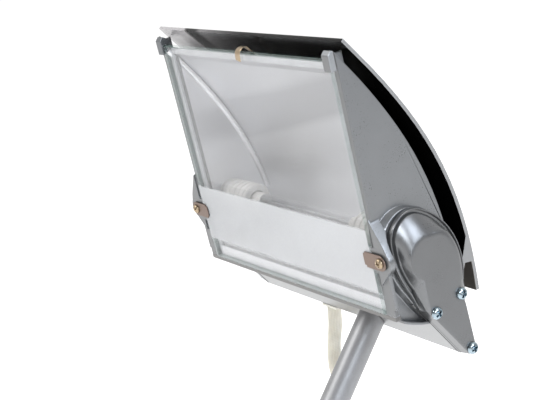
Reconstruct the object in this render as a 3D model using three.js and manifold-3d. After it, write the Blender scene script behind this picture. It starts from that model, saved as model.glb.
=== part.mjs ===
import * as THREE from 'three';
import { mergeVertices } from 'three/addons/utils/BufferGeometryUtils.js';
import loadManifold from 'manifold-3d';

// Halogen floodlight on a tilting and swinging tube arm, screwed to a wall.
// Units are millimetres. X runs along the lamp, Y away from the wall and Z up.
// The head is drawn in its own frame: X along the lamp, Y to the rear, Z up the glass,
// with its zero at the middle of the glass's lower front edge.

const wasm = await loadManifold();
wasm.setup();

// Fits between pieces
const GAP = 0.3;
const BORE_CLEARANCE = 0.3;
const ROUND = 20;
const FINE_ROUND = 28;
const SMALL_ROUND = 12;

// Glass, its seal and the seat behind it
const GLASS_WIDTH = 180;
const GLASS_HEIGHT = 143.5;
const GLASS_THICKNESS = 4;
const GLASS_FOOT_Z = -3;
const RAIL_LOW_Z = -6.1;
const GLASS_PROUD = 1.8;
const SEAL_THICKNESS = 1.8;
const SEAL_WIDTH = 3.6;
const SEAL_TOP = GLASS_HEIGHT - 2.5;
const SEAT_THICKNESS = 1.8;

// Die-cast cheeks at both ends of the lamp chamber
const CHEEK_INNER_X = GLASS_WIDTH / 2 + 1.5;
const CHEEK_OUTER_X = CHEEK_INNER_X + 2.5;
const RIB_THICKNESS = 2.4;
const RIB_TOP_Z = 26;
const CHEEK_FOOT_WALL = 1.6;
const HOOK_WIDTH = 6.3;
const HOOK_THICKNESS = 1.8;
const HOOK_LOW_Z = GLASS_HEIGHT - 5.5;
const CHEEK_TOP_Z = GLASS_HEIGHT + 5.1;

// Aluminium extrusion: curved cover, foot web and triangular wiring box
const BODY_HALF_LENGTH = CHEEK_OUTER_X + 3.5;
const RAIL_OUTER_X = BODY_HALF_LENGTH + 2;
const COVER_TOP_Z = GLASS_HEIGHT + 10.7;
const COVER_WALL = 2;
const SKIRT_WALL = 2.6;
const BOX_WALL = 2.2;
const BOX_TOP_Z = -1.5;
const BOX_REAR_Y = 45.8;
const BOX_BOTTOM_Z = -41.5;
const SLANT_POINT = new THREE.Vector2(38.1, -40.4);
const SLANT_ANGLE = THREE.MathUtils.degToRad(-59);
const PORT_RADIUS = 3.5;

// Teardrop end caps and the bosses they close
const CAP_FACE_X = BODY_HALF_LENGTH + 10;
const CAP_WALL = 2;
const CAP_FLANGE = 1.5;
const CAP_SEAL = 0.8;
const FLANGE_WIDTH = 4;
const DROP_TOP = new THREE.Vector2(21.5, 36.5);
const DROP_TOP_RADIUS = 13.2;
const DROP_REAR_RADIUS = 40.5;
const DROP_REAR_ANGLE = THREE.MathUtils.degToRad(60.8);
const DROP_FRONT_RADIUS = 49.5;
const DROP_FRONT_ANGLE = THREE.MathUtils.degToRad(175.3);
const DROP_REAR_END = THREE.MathUtils.degToRad(-31);
const PLATEAU_CENTRE = new THREE.Vector2(25.5, 24.5);
const PLATEAU_RADIUS = 13.2;
const CAP_SCREWS = [[22.3, -7.1], [41.6, -3.5], [41.9, -37.8]];

// Screws
const CAP_SCREW_HEAD = 3.7;
const CAP_SCREW_HEIGHT = 2.4;
const CAP_SCREW_SHANK = 1.45;
const CAP_SCREW_LENGTH = 19;
const RECESS_WIDTH = 0.9;
const RECESS_SPAN = 3.8;
const RECESS_DEPTH = 0.9;

// Turning clips that hold the glass
const CLIP_SCREW_X = GLASS_WIDTH / 2 + 8;
const CLIP_SCREW_Z = 30.7;
const CLIP_WIDTH = 9.4;
const CLIP_THICKNESS = 0.9;
const CLIP_INNER_X = GLASS_WIDTH / 2 - 6;
const LUG_RADIUS = 7.6;
const LUG_DEPTH = 4;
const FLANK_DEPTH = 7;
const CLIP_SCREW_HEAD = 3;
const CLIP_SCREW_HEIGHT = 1.6;
const CLIP_SCREW_SHANK = 1.4;

// Lamp, lamp holders and reflector
const LAMP_Y = 22.5;
const LAMP_Z = 35;
const LAMP_TUBE_RADIUS = 4.75;
const LAMP_TUBE_WALL = 0.9;
const LAMP_HALF_LENGTH = 59;
const LAMP_TUBE_HALF = LAMP_HALF_LENGTH - 12;
const LAMP_CAP_RADIUS = 4.9;
const LAMP_CONTACT_DEPTH = 1.9;
const FILAMENT_RADIUS = 0.8;
const HOLDER_RADIUS = 10;
const HOLDER_FRONT_X = LAMP_HALF_LENGTH - 2.5;
const HOLDER_FLANGE_RADIUS = 11.2;
const HOLDER_FLANGE = 2.4;
const PLUNGER_RADIUS = 1.9;
const PLUNGER_LENGTH = 30;
const SHEET = 1.2;
const REFLECTOR_SHEET = 0.6;
const REFLECTOR_SIDE_X = GLASS_WIDTH / 2 + 0.4;

// Head on its arm: the swivel bolt stands square to the slanted wall
const HEAD_TILT = THREE.MathUtils.degToRad(15.66);
const BOLT_X = 28;
const BOLT_Z = -33;
const SWIVEL_BOLT_RADIUS = 2.9;
const SWIVEL_NUT_RADIUS = 5.7;
const SWIVEL_NUT_HEIGHT = 3;
const SWIVEL_WASHER = 0.9;

// Tube arm
const TUBE_RADIUS = 8.5;
const TUBE_WALL = 1.2;
const TUBE_RISE = THREE.MathUtils.degToRad(60.5);
const TUBE_UPPER = 150;
const TUBE_BEND_RADIUS = 70;
const TUBE_LOWER = 100;
const PLUG_LENGTH = 24;
const SWIVEL_THREAD = 12;
const SLEEVE_ENTRY = 44;
const SLEEVE_ENTRY_TURN = THREE.MathUtils.degToRad(40);
const SLEEVE_WIDTH = 9;
const SLEEVE_DEPTH = 6;
const SLEEVE_X = -27;
const SLEEVE_Y = 42.2;

// Wall bracket: plate, vertical swing pin, fork and tilt bolt
const PLATE_WIDTH = 60;
const PLATE_HEIGHT = 80;
const PLATE_THICKNESS = 4;
const PLATE_HOLE_RADIUS = 2.75;
const PLATE_HOLE_SPREAD_X = 44;
const PLATE_HOLE_SPREAD_Z = 62;
const EAR_Z = 15;
const EAR_THICKNESS = 4;
const EAR_WIDTH = 22;
const SWING_Y = 22;
const SWING_PIN_RADIUS = 4;
const SWING_HUB_RADIUS = 9;
const TILT_Y = 54;
const TILT_BOLT_RADIUS = 3;
const FORK_CHEEK = 3.5;
const TONGUE_HALF = 6;
const TONGUE_RADIUS = 8;
const KNOB_RADIUS = 12;
const KNOB_LENGTH = 14;

// Colours, roughness and metalness of the finishes
const finish = (color, roughness, metalness) =>
  new THREE.MeshStandardMaterial({ color, roughness, metalness });
const FINISHES = {
  silverPaint: finish(0x989b9e, 0.42, 0.55),
  darkPaint: finish(0x7f8285, 0.45, 0.5),
  anodised: finish(0xb4b4b2, 0.4, 0.7),
  brightSheet: finish(0xd8d9da, 0.22, 0.9),
  glass: finish(0xdfe6e4, 0.08, 0),
  quartz: finish(0xe8eeee, 0.05, 0),
  rubber: finish(0x37383a, 0.85, 0),
  ceramic: finish(0xe4e0d6, 0.6, 0),
  zinc: finish(0xa9b4bd, 0.3, 0.9),
  spring: finish(0xb08d70, 0.35, 0.85),
  brass: finish(0xb59a63, 0.35, 0.85),
  steelTube: finish(0x8f9092, 0.3, 0.75),
  sleeve: finish(0xdfdbc6, 0.8, 0),
  plastic: finish(0x2b2c2e, 0.55, 0),
  wire: finish(0xe9e6dd, 0.6, 0),
};

// Solids and meshes

const solidOf = (geometry) => {
  const bare = geometry.clone();
  bare.deleteAttribute('normal');
  bare.deleteAttribute('uv');
  const merged = mergeVertices(bare, 1e-4);
  return new wasm.Manifold(new wasm.Mesh({
    numProp: 3,
    vertProperties: new Float32Array(merged.attributes.position.array),
    triVerts: new Uint32Array(merged.index.array),
  }));
};

const geometryOf = (solid) => {
  const mesh = solid.getMesh();
  const geometry = new THREE.BufferGeometry();
  geometry.setAttribute('position', new THREE.BufferAttribute(mesh.vertProperties, 3));
  geometry.setIndex(new THREE.BufferAttribute(mesh.triVerts, 1));
  geometry.computeVertexNormals();
  return geometry;
};

const join = (first, ...rest) => rest.reduce((sum, next) => sum.add(next), first);
const cut = (first, ...rest) => rest.reduce((left, tool) => left.subtract(tool), first);

const moved = (geometry, matrix) => {
  geometry.applyMatrix4(matrix);
  return geometry;
};

// A box between two corners
const block = (x0, x1, y0, y1, z0, z1) => {
  const geometry = new THREE.BoxGeometry(Math.abs(x1 - x0), y1 - y0, z1 - z0);
  geometry.translate((x0 + x1) / 2, (y0 + y1) / 2, (z0 + z1) / 2);
  return solidOf(geometry);
};

// An outline in Y and Z carried along X
const ALONG_X = new THREE.Matrix4().set(0, 0, 1, 0, 1, 0, 0, 0, 0, 1, 0, 0, 0, 0, 0, 1);
const prism = (outline, x0, x1) => {
  const shape = outline instanceof THREE.Shape ? outline : new THREE.Shape(outline);
  const geometry = new THREE.ExtrudeGeometry(shape, { depth: Math.abs(x1 - x0), bevelEnabled: false });
  geometry.translate(0, 0, Math.min(x0, x1));
  return solidOf(moved(geometry, ALONG_X));
};

// An outline in X and Z carried along Y
const ALONG_Y = new THREE.Matrix4().set(1, 0, 0, 0, 0, 0, -1, 0, 0, 1, 0, 0, 0, 0, 0, 1);
const slab = (shape, y0, y1) => {
  const geometry = new THREE.ExtrudeGeometry(
    shape, { depth: y1 - y0, bevelEnabled: false, curveSegments: 5 },
  );
  geometry.translate(0, 0, -y1);
  return solidOf(moved(geometry, ALONG_Y));
};

// A profile of [radius, height] pairs turned about the line from a point along a direction
const turned = (profile, start, direction, sides = ROUND) => {
  const points = profile.map(([radius, height]) => new THREE.Vector2(radius, height));
  const geometry = new THREE.LatheGeometry(points, sides);
  const turn = new THREE.Quaternion().setFromUnitVectors(
    new THREE.Vector3(0, 1, 0), direction.clone().normalize(),
  );
  const place = new THREE.Matrix4().compose(start, turn, new THREE.Vector3(1, 1, 1));
  return solidOf(moved(geometry, place));
};

const rod = (from, to, radius, sides = ROUND) => {
  const along = to.clone().sub(from);
  return turned([[0, 0], [radius, 0], [radius, along.length()], [0, along.length()]], from, along, sides);
};

const point = (x, y, z) => new THREE.Vector3(x, y, z);
const rodX = (y, z, x0, x1, radius, sides = ROUND) => rod(point(x0, y, z), point(x1, y, z), radius, sides);

// Rings of equally many points, skinned and closed at both ends
const skin = (rings) => {
  const count = rings[0].length;
  const positions = rings.flat().flatMap((p) => [p.x, p.y, p.z]);
  const faces = [];
  for (let ring = 0; ring < rings.length - 1; ring += 1) {
    for (let i = 0; i < count; i += 1) {
      const a = ring * count + i;
      const b = ring * count + ((i + 1) % count);
      faces.push(a, b, b + count, a, b + count, a + count);
    }
  }
  const closeEnd = (ring, offset, flip) => {
    const [u, v] = planeAxes(ring);
    const flat = ring.map((p) => new THREE.Vector2(p.dot(u), p.dot(v)));
    for (const [a, b, c] of THREE.ShapeUtils.triangulateShape(flat, [])) {
      faces.push(offset + a, offset + (flip ? c : b), offset + (flip ? b : c));
    }
  };
  closeEnd(rings[0], 0, true);
  closeEnd(rings[rings.length - 1], (rings.length - 1) * count, false);
  const geometry = new THREE.BufferGeometry();
  geometry.setAttribute('position', new THREE.Float32BufferAttribute(positions, 3));
  geometry.setIndex(faces);
  return solidOf(geometry);
};

// Two axes of the plane of a ring, such that the ring runs anticlockwise in them
const planeAxes = (ring) => {
  const normal = new THREE.Vector3();
  ring.forEach((p, i) => {
    const q = ring[(i + 1) % ring.length];
    normal.add(new THREE.Vector3().crossVectors(p, q));
  });
  normal.normalize();
  const u = ring[1].clone().sub(ring[0]).normalize();
  return [u, new THREE.Vector3().crossVectors(normal, u)];
};

// Outlines in Y and Z at two places along X, skinned
const loft = (outlineA, xA, outlineB, xB) =>
  skin([outlineA.map((p) => point(xA, p.x, p.y)), outlineB.map((p) => point(xB, p.x, p.y))]);

// The left-hand twin of a right-hand piece
const mirrored = (solid) => {
  const mesh = solid.getMesh();
  const vertProperties = mesh.vertProperties.map((value, i) => (i % 3 === 0 ? -value : value));
  const triVerts = mesh.triVerts.slice();
  for (let i = 0; i < triVerts.length; i += 3) {
    [triVerts[i + 1], triVerts[i + 2]] = [triVerts[i + 2], triVerts[i + 1]];
  }
  return new wasm.Manifold(new wasm.Mesh({ numProp: 3, vertProperties, triVerts }));
};

// Plane curves in Y and Z

const vec = (y, z) => new THREE.Vector2(y, z);
const polar = (centre, radius, angle) =>
  vec(centre.x + radius * Math.cos(angle), centre.y + radius * Math.sin(angle));
const arc = (centre, radius, from, to, steps) =>
  Array.from({ length: steps + 1 }, (_, i) => polar(centre, radius, from + ((to - from) * i) / steps));

// A curve moved sideways by an amount that changes evenly from one end to the other
const offsetCurve = (curve, startOffset, endOffset, steps, from = 0, to = 1) =>
  Array.from({ length: steps + 1 }, (_, i) => {
    const t = from + ((to - from) * i) / steps;
    const offset = startOffset + (endOffset - startOffset) * t;
    const tangent = curve.getTangent(t);
    return curve.getPoint(t).add(vec(tangent.y, -tangent.x).multiplyScalar(offset));
  });

// Cover curve from its upper edge to the foot of its skirt, and the chamber's rear curve
const coverCurve = new THREE.CubicBezierCurve(
  vec(6.7, COVER_TOP_Z), vec(46.2, GLASS_HEIGHT * 0.699), vec(67.3, GLASS_HEIGHT * 0.399), vec(63, -12.2),
);
const chamberCurve = new THREE.CubicBezierCurve(
  vec(GLASS_PROUD, CHEEK_TOP_Z), vec(36.5, GLASS_HEIGHT * 0.683), vec(50.8, GLASS_HEIGHT * 0.432), vec(52, 8),
);
const CURVE_STEPS = 16;

// Slanted front wall of the wiring box
const slantAlong = vec(Math.cos(SLANT_ANGLE), Math.sin(SLANT_ANGLE));
const slantIn = vec(-slantAlong.y, slantAlong.x);
const slantAt = (z, inset = 0) => {
  const start = SLANT_POINT.clone().addScaledVector(slantIn, inset);
  return vec(start.x + ((z - start.y) * slantAlong.x) / slantAlong.y, z);
};

const boxOutline = (inset) => [
  slantAt(BOX_BOTTOM_Z + inset, inset),
  vec(BOX_REAR_Y - inset, BOX_BOTTOM_Z + inset),
  vec(BOX_REAR_Y - inset, BOX_TOP_Z - inset),
  slantAt(BOX_TOP_Z - inset, inset),
];

// Solid foot that ties the cover to the box, with the drip channel under it
const WEB_OUTLINE = [
  [43.8, -3.4], [45.8, -6.5], [53.8, 1.7], [56.7, 6.7], [61.8, 5.8], [61.4, 24],
  [57.5, 15], [53.8, 7.5], [46.4, -0.4],
].map(([y, z]) => vec(y, z));

// Teardrop outline of cap and boss, moved outwards by an offset
const dropRear = DROP_TOP.clone().sub(polar(vec(0, 0), DROP_REAR_RADIUS - DROP_TOP_RADIUS, DROP_REAR_ANGLE));
const dropFront = DROP_TOP.clone().sub(
  polar(vec(0, 0), DROP_FRONT_RADIUS - DROP_TOP_RADIUS, DROP_FRONT_ANGLE),
);
const slantNormalAngle = SLANT_ANGLE - Math.PI / 2 + 2 * Math.PI;
const dropArcs = (offset) => [
  ...arc(dropFront, DROP_FRONT_RADIUS + offset, slantNormalAngle, DROP_FRONT_ANGLE, 6),
  ...arc(DROP_TOP, DROP_TOP_RADIUS + offset, DROP_FRONT_ANGLE, DROP_REAR_ANGLE, 10).slice(1),
  ...arc(dropRear, DROP_REAR_RADIUS + offset, DROP_REAR_ANGLE, DROP_REAR_END, 12).slice(1),
];
const reversed = (points) => [...points].reverse();

const TAIL_START_Z = -4.6;
const capOutline = (offset, inset = 0) => reversed([
  slantAt(BOX_BOTTOM_Z + inset, inset),
  slantAt(TAIL_START_Z, inset),
  ...dropArcs(offset).filter((p) => p.x < BOX_REAR_Y - inset || p.y > 0),
  vec(BOX_REAR_Y - inset, -10 - offset),
  vec(BOX_REAR_Y - inset, BOX_BOTTOM_Z + inset),
]);

// Foot of the dome at the flange and the edge of its flat top, point for point
const DOME_TAIL_Z = -9;
const domeFoot = (inset) => {
  const arcs = dropArcs(-inset).filter((p) => p.y > 4);
  return reversed([vec(26 + inset, DOME_TAIL_Z), ...arcs, vec(43 - inset, DOME_TAIL_Z)]);
};
const PLATEAU_REAR_ANGLE = THREE.MathUtils.degToRad(12);
const domeTop = (inset) => {
  const count = dropArcs(-inset).filter((p) => p.y > 4).length;
  const round = arc(PLATEAU_CENTRE, PLATEAU_RADIUS - inset, slantNormalAngle, PLATEAU_REAR_ANGLE, count - 1);
  return reversed([vec(29 + inset, DOME_TAIL_Z), ...round, vec(42.5 - inset, DOME_TAIL_Z)]);
};

// Limits of the tools that cut both ends of the head
const TOOL_INNER_X = CHEEK_INNER_X - 11.5;
const TOOL_OUTER_X = CAP_FACE_X + 12.5;
const TOOL_TOP_Z = GLASS_HEIGHT + 20;
const TOOL_BACK_Y = 80;

// Head pieces

const body = new THREE.Group();
body.name = 'floodlight';
const head = new THREE.Group();
const world = new THREE.Group();

const addPiece = (group, name, solid, material) => {
  const mesh = new THREE.Mesh(geometryOf(solid), material);
  mesh.name = name;
  group.add(mesh);
};

const addPair = (name, build, material) => {
  const right = build();
  addPiece(head, `${name}_right`, right, material);
  addPiece(head, `${name}_left`, mirrored(right), material);
};

const glassBack = GLASS_THICKNESS;
const sealFront = glassBack + GAP;
const seatFront = sealFront + SEAL_THICKNESS + GAP;
const seatBack = seatFront + SEAT_THICKNESS;
const glassHalf = GLASS_WIDTH / 2;
const boltPoint = point(BOLT_X, slantAt(BOLT_Z).x, BOLT_Z);
const boltOut = point(0, -slantIn.x, -slantIn.y);
const boltIn = boltOut.clone().negate();
const alongBolt = (distance) => boltPoint.clone().addScaledVector(boltIn, distance);

const EARTH_X = 58;
const EARTH_Z = -20;
const EARTH_SHANK = 1.6;

const capScrewBores = (x0, x1) =>
  CAP_SCREWS.map(([y, z]) => rodX(y, z, x0, x1, CAP_SCREW_SHANK + BORE_CLEARANCE, SMALL_ROUND));

const coverShell = () => {
  const outer = offsetCurve(coverCurve, 0, 0, CURVE_STEPS);
  const inner = offsetCurve(coverCurve, COVER_WALL, SKIRT_WALL, CURVE_STEPS);
  return prism([...reversed(outer), ...inner], -BODY_HALF_LENGTH, BODY_HALF_LENGTH);
};

const buildBody = () => {
  const ends = [-BODY_HALF_LENGTH, BODY_HALF_LENGTH];
  const boxShape = new THREE.Shape(boxOutline(0));
  boxShape.holes.push(new THREE.Path(boxOutline(BOX_WALL)));
  const inside = prism(boxOutline(BOX_WALL / 2), ...ends);
  const nutPocket = rod(alongBolt(0), alongBolt(12), SWIVEL_NUT_RADIUS + 1.6);
  const slot = block(SLEEVE_X - 7, SLEEVE_X + 7, 39, 45, BOX_BOTTOM_Z - 1, -33);
  const ports = CAP_SCREWS.map(([y, z]) => rodX(y, z, ...ends, PORT_RADIUS, SMALL_ROUND).intersect(inside));
  const bores = capScrewBores(-TOOL_OUTER_X, TOOL_OUTER_X);
  const shell = join(coverShell(), prism(WEB_OUTLINE, ...ends), prism(boxShape, ...ends));
  const withPorts = join(shell, ...ports.map((port) => cut(port, nutPocket)));
  const boltHole = rod(alongBolt(-2), alongBolt(BOX_WALL + 0.8), SWIVEL_BOLT_RADIUS + BORE_CLEARANCE);
  const earthHole = rod(
    point(EARTH_X, 40, EARTH_Z), point(EARTH_X, 47, EARTH_Z), EARTH_SHANK + BORE_CLEARANCE, 16,
  );
  return cut(withPorts, ...bores, boltHole, earthHole, slot);
};

// Everything that the extrusion takes up, with its clearance, cut out of its neighbours
const bodyKeepOut = () => {
  const coverFill = [
    ...reversed(offsetCurve(coverCurve, -6, -6, CURVE_STEPS)), ...offsetCurve(coverCurve, 3, 3, CURVE_STEPS),
  ];
  const long = [-BODY_HALF_LENGTH - GAP, BODY_HALF_LENGTH + GAP];
  const web = WEB_OUTLINE.map((p) => p.clone());
  web[6].add(vec(-GAP - 0.1, GAP));
  web[7].add(vec(-GAP, GAP));
  web[8].add(vec(-GAP, GAP));
  web[5].add(vec(-GAP, 1));
  return join(prism(coverFill, ...long), prism(web, ...long), prism(boxOutline(-GAP), ...long));
};

const keepOut = bodyKeepOut();

// Boss base on the cheek: a round top on a straight lower front side
const BOSS_BASE_CENTRE = vec(18, 36);
const BOSS_BASE_RADIUS = 19.5;
const bossBase = () => {
  const rim = dropArcs(FLANGE_WIDTH);
  const rearRim = rim.filter((p, i) => i > 16);
  const front = [vec(11.5, 1.2), vec(7.6, 7.7), vec(4.2, 14.2), vec(1.6, 20), vec(0, 26), vec(-1, 31)];
  const count = rim.length - front.length - rearRim.length;
  const round = arc(BOSS_BASE_CENTRE, BOSS_BASE_RADIUS, Math.PI, 1.15, count - 1);
  return reversed([...front, ...round, ...rearRim.map((p) => p.clone().add(vec(0.8, 0.5)))]);
};

const FOOT_CURVE = new THREE.SplineCurve(
  [vec(1.8, -6.2), vec(8, -10), vec(13.5, -12.7), vec(18, -14.6), vec(24, -16.4)],
);

const buildCheek = () => {
  const foot = FOOT_CURVE.getPoints(8);
  const rear = offsetCurve(chamberCurve, 0, 0, CURVE_STEPS);
  const outline = [...foot, vec(52, -16), ...reversed(rear)];
  const plate = prism(outline, CHEEK_INNER_X, CHEEK_OUTER_X);
  const bossSkirt = [...bossBase(), vec(22.7, -15.4), vec(52, -15)];
  const bossRim = [...reversed(dropArcs(FLANGE_WIDTH)), vec(22.7, -15.4), vec(52, -15)];
  const boss = loft(bossSkirt, CHEEK_OUTER_X - 1, bossRim, BODY_HALF_LENGTH);
  const frontLimit = block(TOOL_INNER_X, TOOL_OUTER_X, GLASS_PROUD, TOOL_BACK_Y, -60, TOOL_TOP_Z);
  const guide = block(glassHalf + GAP, CHEEK_INNER_X + 0.5, GLASS_PROUD, seatBack, GAP, CHEEK_TOP_Z - 1.6);
  const seat = block(
    glassHalf - SEAL_WIDTH, CHEEK_INNER_X + 0.5, seatFront, seatBack, 6.6, SEAL_TOP - SEAL_WIDTH,
  );
  const rib = block(glassHalf + GAP, RAIL_OUTER_X, GLASS_PROUD, GLASS_PROUD + RIB_THICKNESS, 1, RIB_TOP_Z);
  const footInner = FOOT_CURVE.getPoints(8).map((p) => p.clone().add(vec(0.5, CHEEK_FOOT_WALL)));
  const footWall = prism([...FOOT_CURVE.getPoints(8), ...reversed(footInner)], CHEEK_INNER_X, RAIL_OUTER_X);
  const railNotch = block(TOOL_INNER_X, TOOL_OUTER_X, -5, 5.6, -20, GAP / 2);
  const cavity = prism(
    reversed([vec(24, -9), ...dropArcs(-2.2), vec(40, -9)]), CHEEK_OUTER_X - 0.5, TOOL_OUTER_X,
  );
  const holderHole = rodX(
    LAMP_Y, LAMP_Z, TOOL_INNER_X, TOOL_OUTER_X, HOLDER_RADIUS + BORE_CLEARANCE, FINE_ROUND,
  );
  const behindBox = block(TOOL_INNER_X, TOOL_OUTER_X, BOX_REAR_Y - 0.4, TOOL_BACK_Y, -60, 3);
  const shell = cut(join(plate, boss.intersect(frontLimit), guide, seat, rib, footWall), railNotch);
  const hollow = cut(shell, cavity, holderHole, behindBox, keepOut);
  const capRoom = prism(capOutline(FLANGE_WIDTH + GAP, -GAP), BODY_HALF_LENGTH, CAP_FACE_X + 2);
  return cut(join(hollow, buildLug(), buildHook()), capRoom, clipScrewBore());
};

const clipPoint = (y) => point(CLIP_SCREW_X, y, CLIP_SCREW_Z);

const buildLug = () => {
  const round = rod(clipPoint(GAP / 2), clipPoint(LUG_DEPTH), LUG_RADIUS);
  const root = block(
    glassHalf + GAP, CLIP_SCREW_X, GAP / 2, LUG_DEPTH, CLIP_SCREW_Z - LUG_RADIUS, CLIP_SCREW_Z + LUG_RADIUS,
  );
  const flankX = CHEEK_OUTER_X - 0.5;
  const swell = new THREE.CubicBezierCurve(
    vec(flankX, 55), vec(flankX + 4.5, 46), vec(flankX + 9.5, 41), vec(flankX + 11.6, CLIP_SCREW_Z),
  );
  const taper = new THREE.CubicBezierCurve(
    vec(flankX + 11.6, CLIP_SCREW_Z), vec(flankX + 10.5, 24.5), vec(flankX + 4.5, 21), vec(flankX, 15.5),
  );
  const flank = [...swell.getPoints(9), ...taper.getPoints(7).slice(1)];
  return join(round, root, slab(new THREE.Shape(flank), GAP / 2, FLANK_DEPTH));
};

const clipScrewBore = () => rod(
  clipPoint(-2), clipPoint(LUG_DEPTH + 0.4), CLIP_SCREW_SHANK + BORE_CLEARANCE, SMALL_ROUND,
);

const buildHook = () => {
  const outer = CHEEK_OUTER_X - 1;
  const under = GLASS_HEIGHT + GAP;
  const crown = [
    vec(5.6, under), vec(3, GLASS_HEIGHT + 4.3), vec(0.5, GLASS_HEIGHT + 5.8),
    vec(-HOOK_THICKNESS, GLASS_HEIGHT + 3.5),
  ];
  const nose = [vec(-HOOK_THICKNESS, HOOK_LOW_Z), vec(-GAP, HOOK_LOW_Z), vec(-GAP, under), ...crown];
  const side = [vec(-HOOK_THICKNESS, HOOK_LOW_Z), vec(5.6, HOOK_LOW_Z), ...crown];
  return join(prism(nose, outer - HOOK_WIDTH, outer), prism(side, glassHalf + GAP, outer));
};

const buildRail = () => {
  const reach = BODY_HALF_LENGTH + 0.5;
  const front = block(-reach, reach, GLASS_PROUD - 0.3, 5.3, RAIL_LOW_Z, GLASS_FOOT_Z - GAP / 2);
  const shelf = block(-glassHalf, glassHalf, 5, slantAt(-3, -GAP - 0.1).x, -3.4, -GAP / 2 - 1);
  const stand = block(-glassHalf, glassHalf, seatFront, seatBack, -3, 6.3);
  return cut(join(front, shelf, stand), prism(boxOutline(-GAP), -TOOL_OUTER_X, TOOL_OUTER_X));
};

const buildGlass = () => block(-glassHalf, glassHalf, 0, glassBack, GLASS_FOOT_Z + GAP / 2, GLASS_HEIGHT);

const buildSeal = () => {
  const outer = block(-glassHalf, glassHalf, sealFront, sealFront + SEAL_THICKNESS, GAP, SEAL_TOP);
  const reach = glassHalf - SEAL_WIDTH;
  return cut(outer, block(-reach, reach, 0, 20, SEAL_WIDTH, SEAL_TOP - SEAL_WIDTH));
};

// Back of the lamp chamber: a bent sheet with a seat flange along its upper edge
const HOUSING_START = 0.055;
const HOUSING_END = 0.985;
const housingHalf = CHEEK_INNER_X - GAP;
const buildHousing = () => {
  const outer = offsetCurve(chamberCurve, 0, 0, CURVE_STEPS, HOUSING_START, HOUSING_END);
  const inner = offsetCurve(chamberCurve, SHEET, SHEET, CURVE_STEPS, HOUSING_START, HOUSING_END);
  const back = prism([...reversed(outer), ...inner], -housingHalf, housingHalf);
  const flange = block(
    -housingHalf, housingHalf, seatFront, seatFront + SHEET, SEAL_TOP - SEAL_WIDTH, SEAL_TOP - 1,
  );
  return cut(join(back, flange), keepOut, cheekSpace());
};

// Space of the cheeks and of what is built on them, kept clear by what lies between them
const cheekSpace = () => {
  const inner = glassHalf - SEAL_WIDTH - GAP;
  const seats = [-1, 1].map((side) => block(
    Math.min(side * inner, side * TOOL_OUTER_X), Math.max(side * inner, side * TOOL_OUTER_X),
    0, seatBack + GAP, -1, TOOL_TOP_Z,
  ));
  return join(...seats);
};

const reflectorEdge = (inset) => offsetCurve(
  chamberCurve, SHEET + GAP + inset, SHEET + GAP + inset, 22, 0.085, 0.93,
);
const REFLECTOR_FRONT_Y = seatBack + 0.6;
const buildReflector = () => {
  const outer = reflectorEdge(0);
  const last = outer[outer.length - 1];
  const sweep = new THREE.QuadraticBezierCurve(last, vec(last.x - 3, 1.2), vec(24, 1)).getPoints(8).slice(1);
  const outline = [...outer, ...sweep, vec(REFLECTOR_FRONT_Y, 1)];
  const inner = [
    ...reflectorEdge(REFLECTOR_SHEET),
    ...sweep.map((p) => vec(p.x - 0.4, p.y + REFLECTOR_SHEET)),
    vec(REFLECTOR_FRONT_Y, 1 + REFLECTOR_SHEET),
  ];
  return prism([...reversed(outline), ...inner], -REFLECTOR_SIDE_X + GAP, REFLECTOR_SIDE_X - GAP);
};

const buildReflectorSide = () => {
  const edge = offsetCurve(chamberCurve, SHEET + 2 * GAP, SHEET + 2 * GAP, 18, 0.1, 0.93);
  const outline = [
    ...reversed(edge), vec(REFLECTOR_FRONT_Y, GLASS_HEIGHT - 11.5), vec(REFLECTOR_FRONT_Y, 2), vec(40, 2),
  ];
  const side = prism(outline, REFLECTOR_SIDE_X, REFLECTOR_SIDE_X + REFLECTOR_SHEET);
  return cut(
    side, rodX(LAMP_Y, LAMP_Z, TOOL_INNER_X, TOOL_OUTER_X, HOLDER_RADIUS + BORE_CLEARANCE, FINE_ROUND),
  );
};

// Spring clip over the upper edge of the glass, riveted to the housing
const TOP_CLIP_X = 4;
const TOP_CLIP_WIDTH = 6;
const TOP_CLIP_SHEET = 0.6;
const topClipPath = () => {
  const onHousing = (t) => offsetCurve(chamberCurve, -GAP, -GAP, 1, t, t + 0.01)[0];
  const front = -GAP;
  return [
    vec(front, GLASS_HEIGHT - 4.5), vec(front, GLASS_HEIGHT + 0.6), vec(1.2, GLASS_HEIGHT + 2.4),
    vec(3.4, GLASS_HEIGHT + 2.7), vec(5.9, GLASS_HEIGHT - 0.2), onHousing(0.07),
    onHousing(0.12), onHousing(0.17),
  ];
};
const buildTopClip = () => {
  const path = topClipPath();
  const outer = path.map((p, i) => {
    const before = path[Math.max(i - 1, 0)];
    const after = path[Math.min(i + 1, path.length - 1)];
    const along = after.clone().sub(before).normalize();
    return p.clone().add(vec(-along.y, along.x).multiplyScalar(TOP_CLIP_SHEET));
  });
  const half = TOP_CLIP_WIDTH / 2;
  return prism([...path, ...reversed(outer)], TOP_CLIP_X - half, TOP_CLIP_X + half);
};

// Glass clip: a flat spring strip with round ends, bored for its screw
const clipBack = -GAP;
const clipFront = clipBack - CLIP_THICKNESS;
const buildClip = () => {
  const radius = CLIP_WIDTH / 2;
  const strip = rod(clipPoint(clipFront), clipPoint(clipBack), radius);
  const innerEnd = CLIP_INNER_X + 1.5;
  const plate = block(
    innerEnd, CLIP_SCREW_X, clipFront, clipBack, CLIP_SCREW_Z - radius, CLIP_SCREW_Z + radius,
  );
  const tip = block(
    CLIP_INNER_X, innerEnd + 0.1, clipFront, clipBack, CLIP_SCREW_Z - radius + 1.2,
    CLIP_SCREW_Z + radius - 1.2,
  );
  return cut(join(strip, plate, tip), clipScrewBore());
};

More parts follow.
